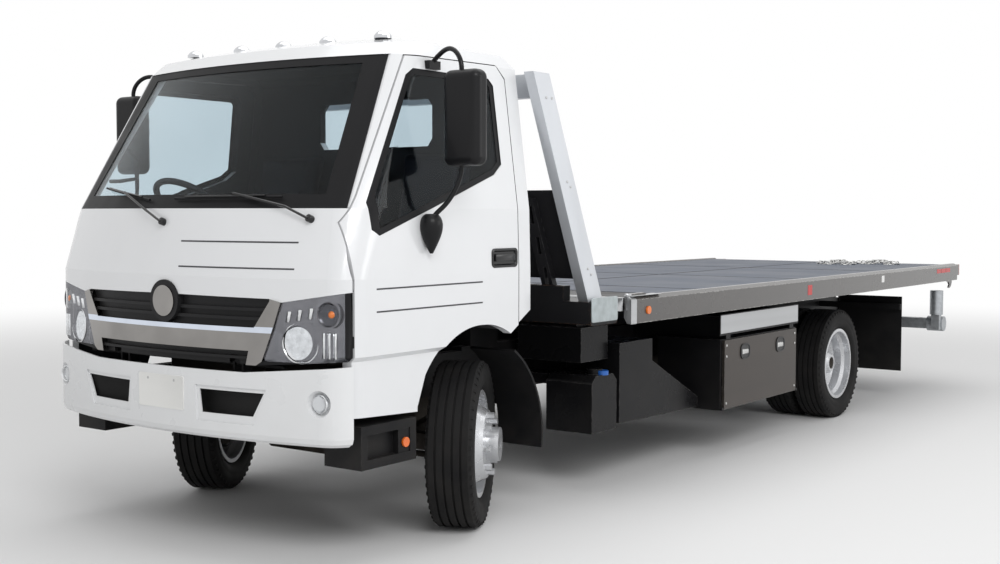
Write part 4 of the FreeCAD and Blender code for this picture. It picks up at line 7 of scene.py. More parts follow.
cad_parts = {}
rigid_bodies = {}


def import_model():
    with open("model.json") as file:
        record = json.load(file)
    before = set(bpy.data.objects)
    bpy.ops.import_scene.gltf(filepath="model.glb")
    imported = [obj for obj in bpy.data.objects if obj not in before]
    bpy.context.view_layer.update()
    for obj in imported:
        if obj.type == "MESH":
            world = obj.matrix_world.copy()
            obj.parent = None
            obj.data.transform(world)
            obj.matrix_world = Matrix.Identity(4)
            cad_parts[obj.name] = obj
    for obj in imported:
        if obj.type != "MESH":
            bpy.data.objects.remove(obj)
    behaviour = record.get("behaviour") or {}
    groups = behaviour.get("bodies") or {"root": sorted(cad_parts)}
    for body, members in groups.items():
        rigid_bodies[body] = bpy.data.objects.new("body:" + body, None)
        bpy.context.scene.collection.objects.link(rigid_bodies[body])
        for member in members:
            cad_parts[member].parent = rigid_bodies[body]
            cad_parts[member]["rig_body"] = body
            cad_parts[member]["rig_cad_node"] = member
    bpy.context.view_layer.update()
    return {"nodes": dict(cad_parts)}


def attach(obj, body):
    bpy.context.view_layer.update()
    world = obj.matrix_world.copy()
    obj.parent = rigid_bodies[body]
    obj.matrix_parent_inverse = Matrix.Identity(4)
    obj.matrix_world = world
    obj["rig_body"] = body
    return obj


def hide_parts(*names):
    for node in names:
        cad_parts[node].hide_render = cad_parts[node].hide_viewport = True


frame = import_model()
nodes = frame["nodes"]

# --------------------
# Camera and studio. The camera stands off the truck's front left corner at
# eye height. The floor is pale and plain, and the light is soft from above.
AXLE_Y = -2.8725
turn, drop, roll = 0.6276633, 0.0532952, 0.00156
sky_as_light, sky_as_seen = 0.50, 1.0
glow_from, glow_full = 4.0, 15.0


def at(x, row, z):
    """A place by its row, which counts backwards from the front axle."""
    return (x, AXLE_Y + row, z)


def fed(tree, node, inputs):
    """A node with its inputs set to values, or linked from sockets."""
    for socket, value in inputs.items():
        if isinstance(value, bpy.types.NodeSocket):
            tree.links.new(value, node.inputs[socket])
        else:
            node.inputs[socket].default_value = value
    return node


def add_node(tree, kind, inputs=None, **settings):
    """A new shader node with its settings and inputs."""
    node = tree.nodes.new("ShaderNode" + kind)
    for label, value in settings.items():
        setattr(node, label, value)
    return fed(tree, node, inputs or {})


def worked_out(tree, operation, first, second, **settings):
    """What a math node makes of two numbers."""
    return add_node(tree, "Math", {0: first, 1: second}, operation=operation, **settings).outputs[0]


def ranged(tree, value, low, high, to_low=0.0, to_high=1.0, **settings):
    """A number taken from one range to another."""
    return add_node(tree, "MapRange", {"From Min": low, "From Max": high, "To Min": to_low,
                                       "To Max": to_high, "Value": value}, **settings).outputs["Result"]


camera_data = bpy.data.cameras.new("camera")
camera_data.sensor_width = 36.0
camera_data.lens = 46.061
camera_data.clip_end = 200.0
camera = bpy.data.objects.new("camera", camera_data)
bpy.context.scene.collection.objects.link(camera)
camera.location = at(4.624, -4.875, 1.528)
facing = Euler((math.pi / 2 - drop, 0.0, turn)).to_matrix() @ Matrix.Rotation(roll, 3, "Z")
camera.rotation_euler = facing.to_euler()
bpy.context.scene.camera = camera
bpy.context.scene.view_settings.view_transform = "Standard"

world = bpy.data.worlds.new("studio_world")
bpy.context.scene.world = world
world.use_nodes = True
sky = world.node_tree
seen_by = add_node(sky, "LightPath").outputs
seen_bare = worked_out(sky, "MAXIMUM", seen_by["Is Camera Ray"], seen_by["Is Transmission Ray"])
seen_any = worked_out(sky, "MAXIMUM", seen_bare, seen_by["Is Glossy Ray"])
fed(sky, sky.nodes["Background"],
    {"Color": (1.0, 1.0, 1.0, 1.0), "Strength": ranged(sky, seen_any, 0.0, 1.0, sky_as_light, sky_as_seen)})

bpy.ops.object.select_all(action="DESELECT")
bpy.ops.mesh.primitive_plane_add(size=120.0, location=(0.0, 0.0, 0.0))
floor = bpy.context.object
floor.name = "studio_floor"
floor_paper = bpy.data.materials.new("floor_paper")
floor_paper.use_nodes = True
paper_tree = floor_paper.node_tree
paper = fed(paper_tree, paper_tree.nodes["Principled BSDF"],
            {"Base Color": (0.80, 0.80, 0.80, 1.0), "Roughness": 0.9})
far_place = add_node(paper_tree, "TexCoord").outputs["Object"]
far_out = add_node(paper_tree, "VectorMath", {0: far_place}, operation="LENGTH").outputs["Value"]
far_share = ranged(paper_tree, far_out, glow_from, glow_full, interpolation_type="SMOOTHSTEP")
far_glow = add_node(paper_tree, "Emission")
far_mix = add_node(paper_tree, "MixShader", {"Fac": far_share, 1: paper.outputs["BSDF"],
                                             2: far_glow.outputs["Emission"]})
fed(paper_tree, paper_tree.nodes["Material Output"], {"Surface": far_mix.outputs["Shader"]})
floor.data.materials.append(floor_paper)


def studio_lamp(name, place, aim, size, power):
    """A soft rectangular lamp aimed at a point."""
    lamp_data = bpy.data.lights.new(name, "AREA")
    lamp_data.shape = "RECTANGLE"
    lamp_data.size, lamp_data.size_y = size
    lamp_data.energy = power
    lamp = bpy.data.objects.new(name, lamp_data)
    bpy.context.scene.collection.objects.link(lamp)
    lamp.location = place
    lamp.rotation_euler = (Vector(aim) - Vector(place)).to_track_quat("-Z", "Y").to_euler()


studio_lamp("key_light", (8.0, -8.0, 7.5), (0.0, -1.5, 1.0), (6.0, 4.0), 500.0)
studio_lamp("top_light", (0.0, 0.0, 8.5), (0.0, 0.0, 0.0), (8.0, 10.0), 300.0)
studio_lamp("side_light", (10.0, 3.0, 4.0), (0.0, 1.0, 1.0), (7.0, 4.0), 190.0)

# --------------------
# Chassis. Two pressed steel rails with cross-members, the bed's sub-frame and
# the headboard's beam, all in black paint that is rubbed through at the edges
# and holds road dust.
low_shine = 0.14


def effect(name, inputs, outputs):
    """An empty effect group with named sockets, and its two ends."""
    group = bpy.data.node_groups.new(name, "ShaderNodeTree")
    for label, kind, value in inputs:
        socket = group.interface.new_socket(name=label, in_out="INPUT", socket_type="NodeSocket" + kind)
        if value is not None:
            socket.default_value = value
    for label in outputs:
        group.interface.new_socket(name=label, in_out="OUTPUT", socket_type="NodeSocketFloat")
    return group, group.nodes.new("NodeGroupInput").outputs, group.nodes.new("NodeGroupOutput")


uneven_tone, tone_in, tone_out = effect(
    "uneven_tone", [("Vector", "Vector", None), ("Scale", "Float", 5.0), ("Grain", "Float", 500.0)],
    ["Broad", "Fine"])
for label, socket, detail in (("Broad", "Scale", 5.0), ("Fine", "Grain", 2.0)):
    noise = add_node(uneven_tone, "TexNoise", {"Detail": detail, "Vector": tone_in["Vector"],
                                               "Scale": tone_in[socket]})
    fed(uneven_tone, tone_out, {label: noise.outputs["Fac"]})

# Warm grey laid low down and on faces that look up: road dust, and on the white cab also painted shade
# towards the bottom.
road_dust, dust_in, dust_out = effect(
    "road_dust", [("Vector", "Vector", None), ("Amount", "Float", 0.3), ("Height", "Float", 1.0)], ["Mask"])
dust_normal = add_node(road_dust, "NewGeometry").outputs["Normal"]
dust_facing = add_node(road_dust, "SeparateXYZ", {0: dust_normal}).outputs["Z"]
dust_level = add_node(road_dust, "SeparateXYZ", {0: dust_in["Vector"]}).outputs["Z"]
dust_low = ranged(road_dust, dust_level, 0.0, dust_in["Height"], 1.0, 0.0)
dust_up = worked_out(road_dust, "MULTIPLY", dust_facing, 0.7)
dust_most = worked_out(road_dust, "MAXIMUM", dust_low, dust_up)
dust_patch = add_node(road_dust, "TexNoise", {"Scale": 7.0, "Detail": 8.0, "Vector": dust_in["Vector"]})
dust_share = ranged(road_dust, dust_patch.outputs["Fac"], 0.32, 0.72)
dust_laid = worked_out(road_dust, "MULTIPLY", dust_most, dust_share)
dust_mask = worked_out(road_dust, "MULTIPLY", dust_laid, dust_in["Amount"], use_clamp=True)
fed(road_dust, dust_out, {"Mask": dust_mask})

# Lighter edges: rubbed bare paint on most finishes, and painted highlights along the edges of the toolbox
# doors and bed rails.
worn_and_lit_edges, edge_in, edge_out = effect(
    "worn_and_lit_edges", [("Vector", "Vector", None), ("Radius", "Float", 0.004), ("Amount", "Float", 0.5)],
    ["Mask"])
edge_round = add_node(worn_and_lit_edges, "Bevel", {"Radius": edge_in["Radius"]}, samples=4).outputs["Normal"]
edge_flat = add_node(worn_and_lit_edges, "NewGeometry").outputs["Normal"]
edge_dot = add_node(worn_and_lit_edges, "VectorMath", {0: edge_round, 1: edge_flat}, operation="DOT_PRODUCT")
edge_band = ranged(worn_and_lit_edges, edge_dot.outputs["Value"], 0.985, 0.80)
edge_patch = add_node(worn_and_lit_edges, "TexNoise", {"Scale": 30.0, "Detail": 6.0, "Vector": edge_in["Vector"]})
edge_share = ranged(worn_and_lit_edges, edge_patch.outputs["Fac"], 0.42, 0.62)
edge_patchy = worked_out(worn_and_lit_edges, "MULTIPLY", edge_band, edge_share)
wear_and_highlight_mask = worked_out(worn_and_lit_edges, "MULTIPLY", edge_patchy, edge_in["Amount"], use_clamp=True)
fed(worn_and_lit_edges, edge_out, {"Mask": wear_and_highlight_mask})


def mixed(tree, share, under, over):
    """What a mix node gives, a colour where the upper value is one, else a number."""
    is_colour = isinstance(over, tuple)
    first, second, result = (6, 7, 2) if is_colour else (2, 3, 0)
    mix = add_node(tree, "Mix", data_type="RGBA" if is_colour else "FLOAT")
    return fed(tree, mix, {0: share, first: under, second: over}).outputs[result]


def blank(name):
    """A new material, its node tree, its shader and the place on its piece."""
    made = bpy.data.materials.new(name)
    made.use_nodes = True
    tree = made.node_tree
    return made, tree, tree.nodes["Principled BSDF"], add_node(tree, "TexCoord").outputs["Object"]


def toned(tree, place, scale, grain):
    """The two drifts of tone, broad and fine."""
    return add_node(tree, "Group", {"Scale": scale, "Grain": grain, "Vector": place},
                    node_tree=uneven_tone).outputs


def finish_of(name, colour, roughness, metallic=0.0, coat=0.0, spread=0.10, scale=5.0, grain=500.0,
              bump=0.12, dust=0.0, dust_height=1.0, dust_colour=(0.27, 0.24, 0.20), wear=0.0,
              wear_radius=0.004, wear_colour=(0.42, 0.42, 0.42), stretch=(1.0, 1.0, 1.0), shine=0.5):
    """A surface whose tone drifts, with a fine grain. Settled dust, which on the white cab is also painted
    shade low down. Lighter edges, which are rubbed bare paint and, on the toolbox doors and bed rails,
    painted highlights.
    """
    made, tree, shader, place = blank(name)
    stretched = add_node(tree, "Mapping", {"Scale": stretch, "Vector": place}).outputs["Vector"]
    tone = toned(tree, stretched, scale, grain)
    laid = mixed(tree, tone["Broad"], (*[c * (1.0 - spread) for c in colour], 1.0),
                 (*[min(1.0, c * (1.0 + spread)) for c in colour], 1.0))
    rough = ranged(tree, tone["Broad"], 0.25, 0.75, roughness * 0.85, min(1.0, roughness * 1.18))
    for group, amount, colour_over, reach, value, rough_over in (
            (worn_and_lit_edges, wear, wear_colour, "Radius", wear_radius, 0.38),
            (road_dust, dust, dust_colour, "Height", dust_height, 0.85)):
        if amount > 0.0:
            mask = add_node(tree, "Group", {"Amount": amount, reach: value, "Vector": place},
                            node_tree=group).outputs["Mask"]
            laid = mixed(tree, mask, laid, (*colour_over, 1.0))
            rough = mixed(tree, mask, rough, rough_over)
    raised = add_node(tree, "Bump", {"Strength": bump, "Distance": 0.001, "Height": tone["Fine"]})
    fed(tree, shader, {"Metallic": metallic, "Coat Weight": coat, "Coat Roughness": 0.06,
                       "Specular IOR Level": shine, "Base Color": laid, "Roughness": rough,
                       "Normal": raised.outputs["Normal"]})
    return made


def black_of(name, colour, roughness, **more):
    """A dark finish that shines little."""
    return finish_of(name, colour, roughness, shine=low_shine, **more)


def dress(made, *names):
    """Gives CAD nodes their finish."""
    for name in names:
        nodes[name].data.materials.clear()
        nodes[name].data.materials.append(made)


chassis_black = black_of("chassis_black_paint", (0.007, 0.007, 0.008), 0.42, dust=0.06, dust_height=1.1,
                         wear=0.4, wear_colour=(0.09, 0.085, 0.08))
beam_black = black_of("beam_black_paint", (0.010, 0.010, 0.011), 0.3, dust=0.05, dust_height=0.9,
                      wear=0.7, wear_colour=(0.20, 0.11, 0.06))
dress(chassis_black, "chassis_frame", "subframe", "tilt_frame", "tilt_barrels")
dress(beam_black, "headboard_beam")

# --------------------
# Axles, springs and driveline. Forged and cast iron parts under the frame,
# left in black primer, dull with road dirt and a little surface rust.
dirty_iron = black_of("dirty_iron", (0.020, 0.017, 0.015), 0.75, metallic=0.3, spread=0.4, scale=18.0,
                      bump=0.4, dust=0.22, dust_height=1.1, grain=220.0)
ram_chrome = finish_of("ram_chrome", (0.78, 0.79, 0.80), 0.12, metallic=1.0, spread=0.05, bump=0.02)
dress(dirty_iron, "front_axle_beam", "leaf_springs", "rear_axle", "knuckle_left", "knuckle_right",
      "tie_rod", "engine_and_driveline")
dress(ram_chrome, "tilt_rods")

# --------------------
# Tyres and rims. Six steel disc rims in silver paint, bolted through eight
# studs, with black road tyres. Each tyre's shoulders carry moulded lugs.
tyre_black = black_of("tyre_black", (0.0095, 0.0095, 0.010), 0.66, spread=0.25, grain=260.0, bump=0.3,
                      dust=0.14, dust_height=1.4, dust_colour=(0.10, 0.09, 0.08))
rim_silver = finish_of("rim_silver_paint", (0.60, 0.61, 0.63), 0.26, metallic=0.6, coat=0.3, spread=0.12,
                       scale=9.0, dust=0.10, dust_height=1.2, wear=0.3, wear_colour=(0.7, 0.7, 0.7))
dress(tyre_black, "tyre_front_left", "tyre_front_right", "tyres_rear_left", "tyres_rear_right")
dress(rim_silver, "rim_front_left", "rim_front_right", "rims_rear_left", "rims_rear_right")
LEFT, FRONT, REAR, UP = (Vector(way) for way in ((1, 0, 0), (0, -1, 0), (0, 1, 0), (0, 0, 1)))
SIDES = ((1, "left"), (-1, "right"))
mirror_side = Matrix.Scale(-1.0, 4, LEFT)
tyre_radius, axle_height, tyre_half = 0.405, 0.405, 0.113
steer = math.radians(28.0)
kingpin, arm, rear_track = 0.715, 0.1175, 0.825
dual_half, wheelbase = 0.1275, 4.4
lug_count = 52


def set_down():
    """Leaves edit mode with nothing selected."""
    if bpy.context.object and bpy.context.object.mode != "OBJECT":
        bpy.ops.object.mode_set(mode="OBJECT")
    bpy.ops.object.select_all(action="DESELECT")


def take_up(piece):
    """Leaves one piece selected and active."""
    set_down()
    bpy.context.view_layer.objects.active = piece
    piece.select_set(True)


def block(name, low, high):
    """A block between two opposite corners, with edit mode open on it."""
    set_down()
    middle = [(a + b) / 2 for a, b in zip(low, high)]
    bpy.ops.mesh.primitive_cube_add(size=1.0, location=middle, scale=[abs(b - a) for a, b in zip(low, high)])
    bpy.ops.object.transform_apply(location=True, rotation=True, scale=True)
    piece = bpy.context.object
    piece.name = piece.data.name = name
    bpy.ops.object.mode_set(mode="EDIT")
    return piece


def pick(piece, test):
    """Selects the faces whose middle and normal pass a test."""
    bpy.ops.mesh.select_mode(type="FACE")
    bpy.ops.mesh.select_all(action="DESELECT")
    shaped = bmesh.from_edit_mesh(piece.data)
    for face in shaped.faces:
        if test(face.calc_center_median(), face.normal):
            face.select_set(True)
    bmesh.update_edit_mesh(piece.data)


def towards(direction, least=0.7):
    """A test for faces that look along a direction."""
    facing_way = Vector(direction).normalized()
    return lambda middle, normal: normal.dot(facing_way) > least


def rounded(width, segments=2):
    """Bevels every edge of the piece being shaped."""
    bpy.ops.mesh.select_all(action="SELECT")
    bpy.ops.mesh.bevel(offset=width, segments=segments, affect="EDGES")


def finished(piece, made, body, smooth=35.0):
    """Ends the shaping of a piece, and gives it its finish and body."""
    take_up(piece)
    if smooth:
        bpy.ops.object.shade_smooth_by_angle(angle=math.radians(smooth))
    piece.data.materials.clear()
    piece.data.materials.append(made)
    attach(piece, body)
    set_down()


def eased_block(name, low, high, bevel, made, body, segments=1):
    """A plain block with its edges eased, finished."""
    piece = block(name, low, high)
    rounded(bevel, segments)
    finished(piece, made, body)


def copy_of(piece, name, move):
    """A copy with its own mesh, its points moved by a matrix."""
    twin = piece.copy()
    twin.data = piece.data.copy()
    twin.parent = None
    twin.name = twin.data.name = name
    bpy.context.scene.collection.objects.link(twin)
    twin.data.transform(move)
    if move.to_3x3().determinant() < 0.0:
        twin.data.flip_normals()
    return twin


def joined(pieces, name):
    """Several pieces made one."""
    take_up(pieces[0])
    for piece in pieces[1:]:
        piece.select_set(True)
    bpy.ops.object.join()
    whole = bpy.context.object
    whole.name = whole.data.name = name
    return whole


def shoulder_lugs(name, side, body, hub, axis_turn):
    """A ring of shoulder lugs on one side of a tyre, hub and axle turn given."""
    low = (tyre_half - 0.018, -0.0085, tyre_radius - 0.036)
    lug = block("lug", low, (tyre_half - 0.0025, 0.0085, tyre_radius - 0.0045))
    pick(lug, towards(LEFT))
    bpy.ops.transform.resize(value=(1.0, 0.8, 0.75))
    bpy.ops.transform.translate(value=(0.0, 0.0, -0.005))
    set_down()
    place = Matrix.Translation(hub) @ Matrix.Rotation(axis_turn, 4, "Z")
    if side < 0:
        place = place @ mirror_side
    ring = [copy_of(lug, "lug_copy", place @ Matrix.Rotation(2 * math.pi * k / lug_count, 4, "X"))
            for k in range(lug_count)]
    bpy.data.objects.remove(lug)
    finished(joined(ring, name), tyre_black, body)


front_reach, front_trail = kingpin + arm * math.cos(steer), arm * math.sin(steer)
for sign, label in SIDES:
    hub = Vector(at(sign * front_reach, sign * front_trail, axle_height))
    for side, face in ((1, "outer"), (-1, "inner")):
        shoulder_lugs("tyre_lugs_front_%s_%s" % (label, face), side, "wheel_front_" + label, hub, steer)
for sign, label in SIDES:
    for k, reach in enumerate((rear_track + dual_half, rear_track - dual_half)):
        hub = Vector(at(sign * reach, wheelbase, axle_height))
        for side, face in ((1, "a"), (-1, "b")):
            shoulder_lugs("tyre_lugs_rear_%s_%d_%s" % (label, k, face), side, "wheels_rear_" + label,
                          hub, 0.0)

# --------------------
# Tanks, steps, wheel arches and mud flaps. Black painted steel tanks under
# the bed, pressed tread steps, moulded arch liners and rubber flaps.
tank_black = black_of("tank_black_paint", (0.008, 0.008, 0.009), 0.26, dust=0.03, wear=0.6,
                      wear_colour=(0.30, 0.29, 0.28))
liner_black = black_of("liner_plastic", (0.008, 0.008, 0.009), 0.5, spread=0.2, grain=320.0, bump=0.3,
                       dust=0.06)
flap_black = black_of("flap_rubber", (0.007, 0.007, 0.0075), 0.62, spread=0.2, bump=0.3, dust=0.06,
                      dust_height=0.8)
step_black = black_of("step_paint", (0.009, 0.009, 0.010), 0.45, dust=0.10, dust_height=0.9, wear=0.4,
                      wear_colour=(0.10, 0.10, 0.10))
dress(tank_black, "side_tanks")
dress(liner_black, "arch_liners")
dress(flap_black, "mud_flaps")
dress(step_black, "cab_steps")


def round_start(name, centre, axis, radius, depth, sides):
    """A turned blank that stands on its centre along an axis, with edit mode open on it."""
    set_down()
    lean = Vector(axis).to_track_quat("Z", "Y")
    middle = Vector(centre) + Vector(axis).normalized() * depth / 2
    bpy.ops.mesh.primitive_cylinder_add(vertices=sides, radius=radius, depth=depth, location=middle,
                                        rotation=lean.to_euler())
    bpy.ops.object.transform_apply(location=True, rotation=True, scale=True)
    piece = bpy.context.object
    piece.name = piece.data.name = name
    bpy.ops.object.mode_set(mode="EDIT")
    pick(piece, towards(axis, 0.95))
    return piece


def stepped(steps):
    """Insets the picked cap again and again: each step goes in by the first number, up by the second."""
    for inward, upward in steps:
        bpy.ops.mesh.inset(thickness=inward, depth=upward)


def turned(name, centre, axis, radius, depth, sides, steps):
    """A turned piece with its cap stepped, with edit mode open on it."""
    piece = round_start(name, centre, axis, radius, depth, sides)
    stepped(steps)
    return piece


def seat_on(node, start, direction):
    """The first place on a node that a line from a point meets."""
    met, place, *rest = nodes[node].ray_cast(Vector(start), Vector(direction).normalized())
    return place if met else Vector(start)


cap_blue = finish_of("cap_blue_plastic", (0.02, 0.12, 0.45), 0.4, spread=0.1, grain=300.0)
cap_seat = seat_on("side_tanks", at(0.94, 1.17, 0.80), -UP)
fluid_cap = turned("fluid_cap", cap_seat - UP * 0.002, UP, 0.034, 0.022, 40,
                   [(0.003, 0.003), (0.004, 0.0), (0.002, -0.003)])
finished(fluid_cap, cap_blue, "chassis")

# --------------------
# Toolboxes. Folded steel boxes in black with a brushed shelf on top and a
# drop door each side, hinged at the foot and held by two paddle latches.
toolbox_black = black_of("toolbox_black", (0.007, 0.007, 0.008), 0.35, dust=0.04, dust_height=0.9, wear=0.4,
                         wear_colour=(0.16, 0.15, 0.14))
# The doors' light edges are a painted highlight along the chamfered door edges.
door_brushed = finish_of("door_brushed_steel", (0.062, 0.053, 0.047), 0.30, metallic=0.65, spread=0.35,
                         scale=2.0, grain=90.0, bump=0.10, dust=0.05, dust_height=0.7, wear=0.8,
                         wear_colour=(0.34, 0.33, 0.31), wear_radius=0.005, stretch=(1.0, 0.15, 4.0))
latch_black = finish_of("latch_black", (0.012, 0.012, 0.013), 0.35, grain=300.0)
latch_silver = finish_of("latch_zinc", (0.62, 0.62, 0.61), 0.28, metallic=0.9, spread=0.1)
dress(toolbox_black, "toolboxes")
dress(door_brushed, "toolbox_door_left", "toolbox_door_right")
door_skin, latch_level = 1.100, 0.652
latch_rows = (2.658, 3.204)


def round_corners(piece, axis, radius, segments=5):
    """Rounds the edges of a block that run along one axis."""
    index = "xyz".index(axis)
    bpy.ops.mesh.select_mode(type="EDGE")
    bpy.ops.mesh.select_all(action="DESELECT")
    shaped = bmesh.from_edit_mesh(piece.data)
    for edge in shaped.edges:
        run = edge.verts[1].co - edge.verts[0].co
        if abs(run[index]) > 0.999 * run.length:
            edge.select_set(True)
    bmesh.update_edit_mesh(piece.data)
    bpy.ops.mesh.bevel(offset=radius, segments=segments, affect="EDGES")


def both_sides(piece, name, made, body, smooth=35.0):
    """A piece and its mirrored twin, with SIDE in the names read as left and right."""
    set_down()
    twin = copy_of(piece, name.replace("SIDE", "right"), mirror_side)
    piece.name = piece.data.name = name.replace("SIDE", "left")
    finished(piece, made, body.replace("SIDE", "left"), smooth)
    finished(twin, made, body.replace("SIDE", "right"), smooth)


def pressed(name, low, high, radius, steps, axis="x", outward=LEFT):
    """A flat pressing with rounded corners, its outer face stepped."""
    piece = block(name, low, high)
    round_corners(piece, axis, radius)
    pick(piece, towards(outward, 0.95))
    stepped(steps)
    return piece


for k, row in enumerate(latch_rows):
    dish = pressed("latch_dish", at(door_skin - 0.002, row - 0.068, latch_level - 0.050),
                   at(door_skin + 0.005, row + 0.068, latch_level + 0.050), 0.040,
                   [(0.002, 0.0015), (0.006, 0.0), (0.004, -0.004)])
    both_sides(dish, "latch_dish_SIDE_%d" % k, latch_black, "toolbox_door_SIDE_body")
    paddle = block("latch_paddle", at(door_skin + 0.001, row - 0.042, latch_level - 0.020),
                   at(door_skin + 0.008, row + 0.042, latch_level + 0.016))
    pick(paddle, towards(LEFT))
    bpy.ops.transform.resize(value=(1.0, 0.86, 0.6))
    rounded(0.0015, 2)
    both_sides(paddle, "latch_paddle_SIDE_%d" % k, latch_silver, "toolbox_door_SIDE_body")
rivet_zinc = finish_of("rivet_zinc", (0.55, 0.55, 0.54), 0.35, metallic=0.9, spread=0.1)
front_rivets, rear_rivets = 2.392, 3.448
rivet_places = ((front_rivets, 0.708), (front_rivets, 0.640), (rear_rivets, 0.708), (rear_rivets, 0.640),
                (front_rivets, 0.345), (rear_rivets, 0.345))
for k, (row, level) in enumerate(rivet_places):
    rivet = turned("rivet", at(door_skin - 0.001, row, level), LEFT, 0.008, 0.003, 16,
                   [(0.002, 0.0015), (0.003, 0.0005)])
    both_sides(rivet, "door_rivet_SIDE_%d" % k, rivet_zinc, "toolbox_door_SIDE_body")
shelf_brushed = finish_of("shelf_brushed", (0.50, 0.51, 0.52), 0.3, metallic=0.8, spread=0.15, grain=90.0,
                          bump=0.08, dust=0.25, dust_height=0.8, stretch=(1.0, 0.12, 4.0))
for sign, label in SIDES:
    eased_block("shelf_plate_" + label, at(sign * 1.0995, 2.304, 0.787), at(sign * 1.1035, 3.494, 0.902),
                0.001, shelf_brushed, "chassis")

# --------------------
# Bumper. A deep pressed steel bumper painted white, with a slot each side over
# black mesh, a blank number plate and two round fog lamps.
bumper_white = finish_of("bumper_white_paint", (0.74, 0.75, 0.76), 0.28, coat=0.5, spread=0.03, bump=0.02,
                         dust=0.10)
dress(bumper_white, "front_bumper")
mesh_black = black_of("mesh_black", (0.010, 0.010, 0.010), 0.6, grain=300.0)
plate_white = finish_of("plate_white", (0.78, 0.78, 0.76), 0.35, spread=0.04, bump=0.03, dust=0.08)
bolt_zinc = finish_of("bolt_zinc", (0.5, 0.5, 0.5), 0.35, metallic=0.9)
bumper_face = AXLE_Y - 1.115
for sign, label in SIDES:
    eased_block("bumper_mesh_" + label, (sign * 0.225, bumper_face + 0.072, 0.640),
                (sign * 0.596, bumper_face + 0.078, 0.766), 0.001, mesh_black, "chassis")
plate_seat = seat_on("front_bumper", (0.0, bumper_face - 0.5, 0.726), REAR).y
plate = pressed("number_plate", (-0.1525, plate_seat - 0.0008, 0.650), (0.1525, plate_seat + 0.004, 0.802),
                0.008, [(0.005, 0.0), (0.001, -0.0004)], "y", FRONT)
finished(plate, plate_white, "chassis")
for sign, label in SIDES:
    bolt = turned("plate_bolt_" + label, (sign * 0.089, plate_seat + 0.001, 0.780), FRONT, 0.007, 0.0016, 6,
                  [(0.002, 0.0003)])
    finished(bolt, bolt_zinc, "chassis")
eased_block("grille_lip", (-0.66, bumper_face + 0.120, 0.858), (0.66, bumper_face + 0.150, 0.8715), 0.003,
            mesh_black, "cab", 2)

# --------------------
# Cab shell. Pressed and welded sheet steel, primed and sprayed gloss white,
# lined with dark trim, with two fine stripes of grey tape on nose and doors.
# The dust on the white cab paint darkens it towards the bottom: road dust and painted shade near the bottom.
cab_white = finish_of("cab_white_paint", (0.74, 0.75, 0.765), 0.22, coat=0.7, spread=0.025, bump=0.005,
                      dust=0.05, dust_height=1.1)
cab_middle = at(0.0, -0.35, 1.3)
inner_side, inner_in, inner_out = effect("inner_side", [("Vector", "Vector", None)], ["Mask"])
inner_from = add_node(inner_side, "VectorMath", {0: inner_in["Vector"], 1: cab_middle}, operation="SUBTRACT")
inner_normal = add_node(inner_side, "NewGeometry").outputs["True Normal"]
inner_dot = add_node(inner_side, "VectorMath", {0: inner_from.outputs["Vector"], 1: inner_normal},
                     operation="DOT_PRODUCT").outputs["Value"]
fed(inner_side, inner_out, {"Mask": worked_out(inner_side, "LESS_THAN", inner_dot, -0.02)})
trim_navy = (0.010, 0.011, 0.014)


def overlaid(made, share, socket, over):
    """Lays a value over what an input of the shader has so far, where the share is one."""
    entry = made.node_tree.nodes["Principled BSDF"].inputs[socket]
    under = entry.links[0].from_socket if entry.is_linked else entry.default_value
    made.node_tree.links.new(mixed(made.node_tree, share, under, over), entry)


def lined(made):
    """Turns the faces of a shell that look into the cab into dark trim cloth."""
    tree = made.node_tree
    place = add_node(tree, "TexCoord").outputs["Object"]
    mask = add_node(tree, "Group", {"Vector": place}, node_tree=inner_side).outputs["Mask"]
    for socket, over in (("Base Color", (*trim_navy, 1.0)), ("Roughness", 0.85), ("Coat Weight", 0.0)):
        overlaid(made, mask, socket, over)


lined(cab_white)
dress(cab_white, "cab_nose", "cab_roof", "cab_pillars", "cab_back_wall", "door_left", "door_right")
cab_under = black_of("cab_floor_black", (0.03, 0.03, 0.032), 0.6, dust=0.2, dust_height=1.2)
dress(cab_under, "cab_floor")
stripe_grey = finish_of("stripe_tape", (0.04, 0.04, 0.045), 0.35, spread=0.05, bump=0.02)


def skin_of(node, name, direction, least=0.25):
    """A copy of the outer faces of a node, with edit mode open on it."""
    sheet = nodes[node].copy()
    sheet.data = nodes[node].data.copy()
    sheet.parent = None
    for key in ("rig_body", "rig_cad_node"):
        if key in sheet:
            del sheet[key]
    sheet.name = sheet.data.name = name
    bpy.context.scene.collection.objects.link(sheet)
    take_up(sheet)
    bpy.ops.object.mode_set(mode="EDIT")
    bpy.ops.mesh.select_all(action="SELECT")
    bpy.ops.mesh.remove_doubles(threshold=0.00005)
    facing_way = Vector(direction).normalized()
    pick(sheet, lambda middle, normal: normal.dot(facing_way) <= least)
    bpy.ops.mesh.delete(type="FACE")
    return sheet


def cut(point, normal, clear_inner=False, clear_outer=False):
    """Cuts the sheet being shaped along a plane."""
    bpy.ops.mesh.select_all(action="SELECT")
    bpy.ops.mesh.bisect(plane_co=point, plane_no=normal, clear_inner=clear_inner, clear_outer=clear_outer)


def kept_between(low, high, normal):
    """Keeps the part of the sheet between two levels along a direction."""
    cut(normal * low, normal, clear_inner=True)
    cut(normal * high, normal, clear_outer=True)


def thickened(piece, thickness):
    """Gives a sheet its wall, applied."""
    take_up(piece)
    wall = piece.modifiers.new("wall", "SOLIDIFY")
    wall.thickness = thickness
    wall.offset = 1.0
    wall.use_even_offset = True
    bpy.ops.object.modifier_apply(modifier=wall.name)


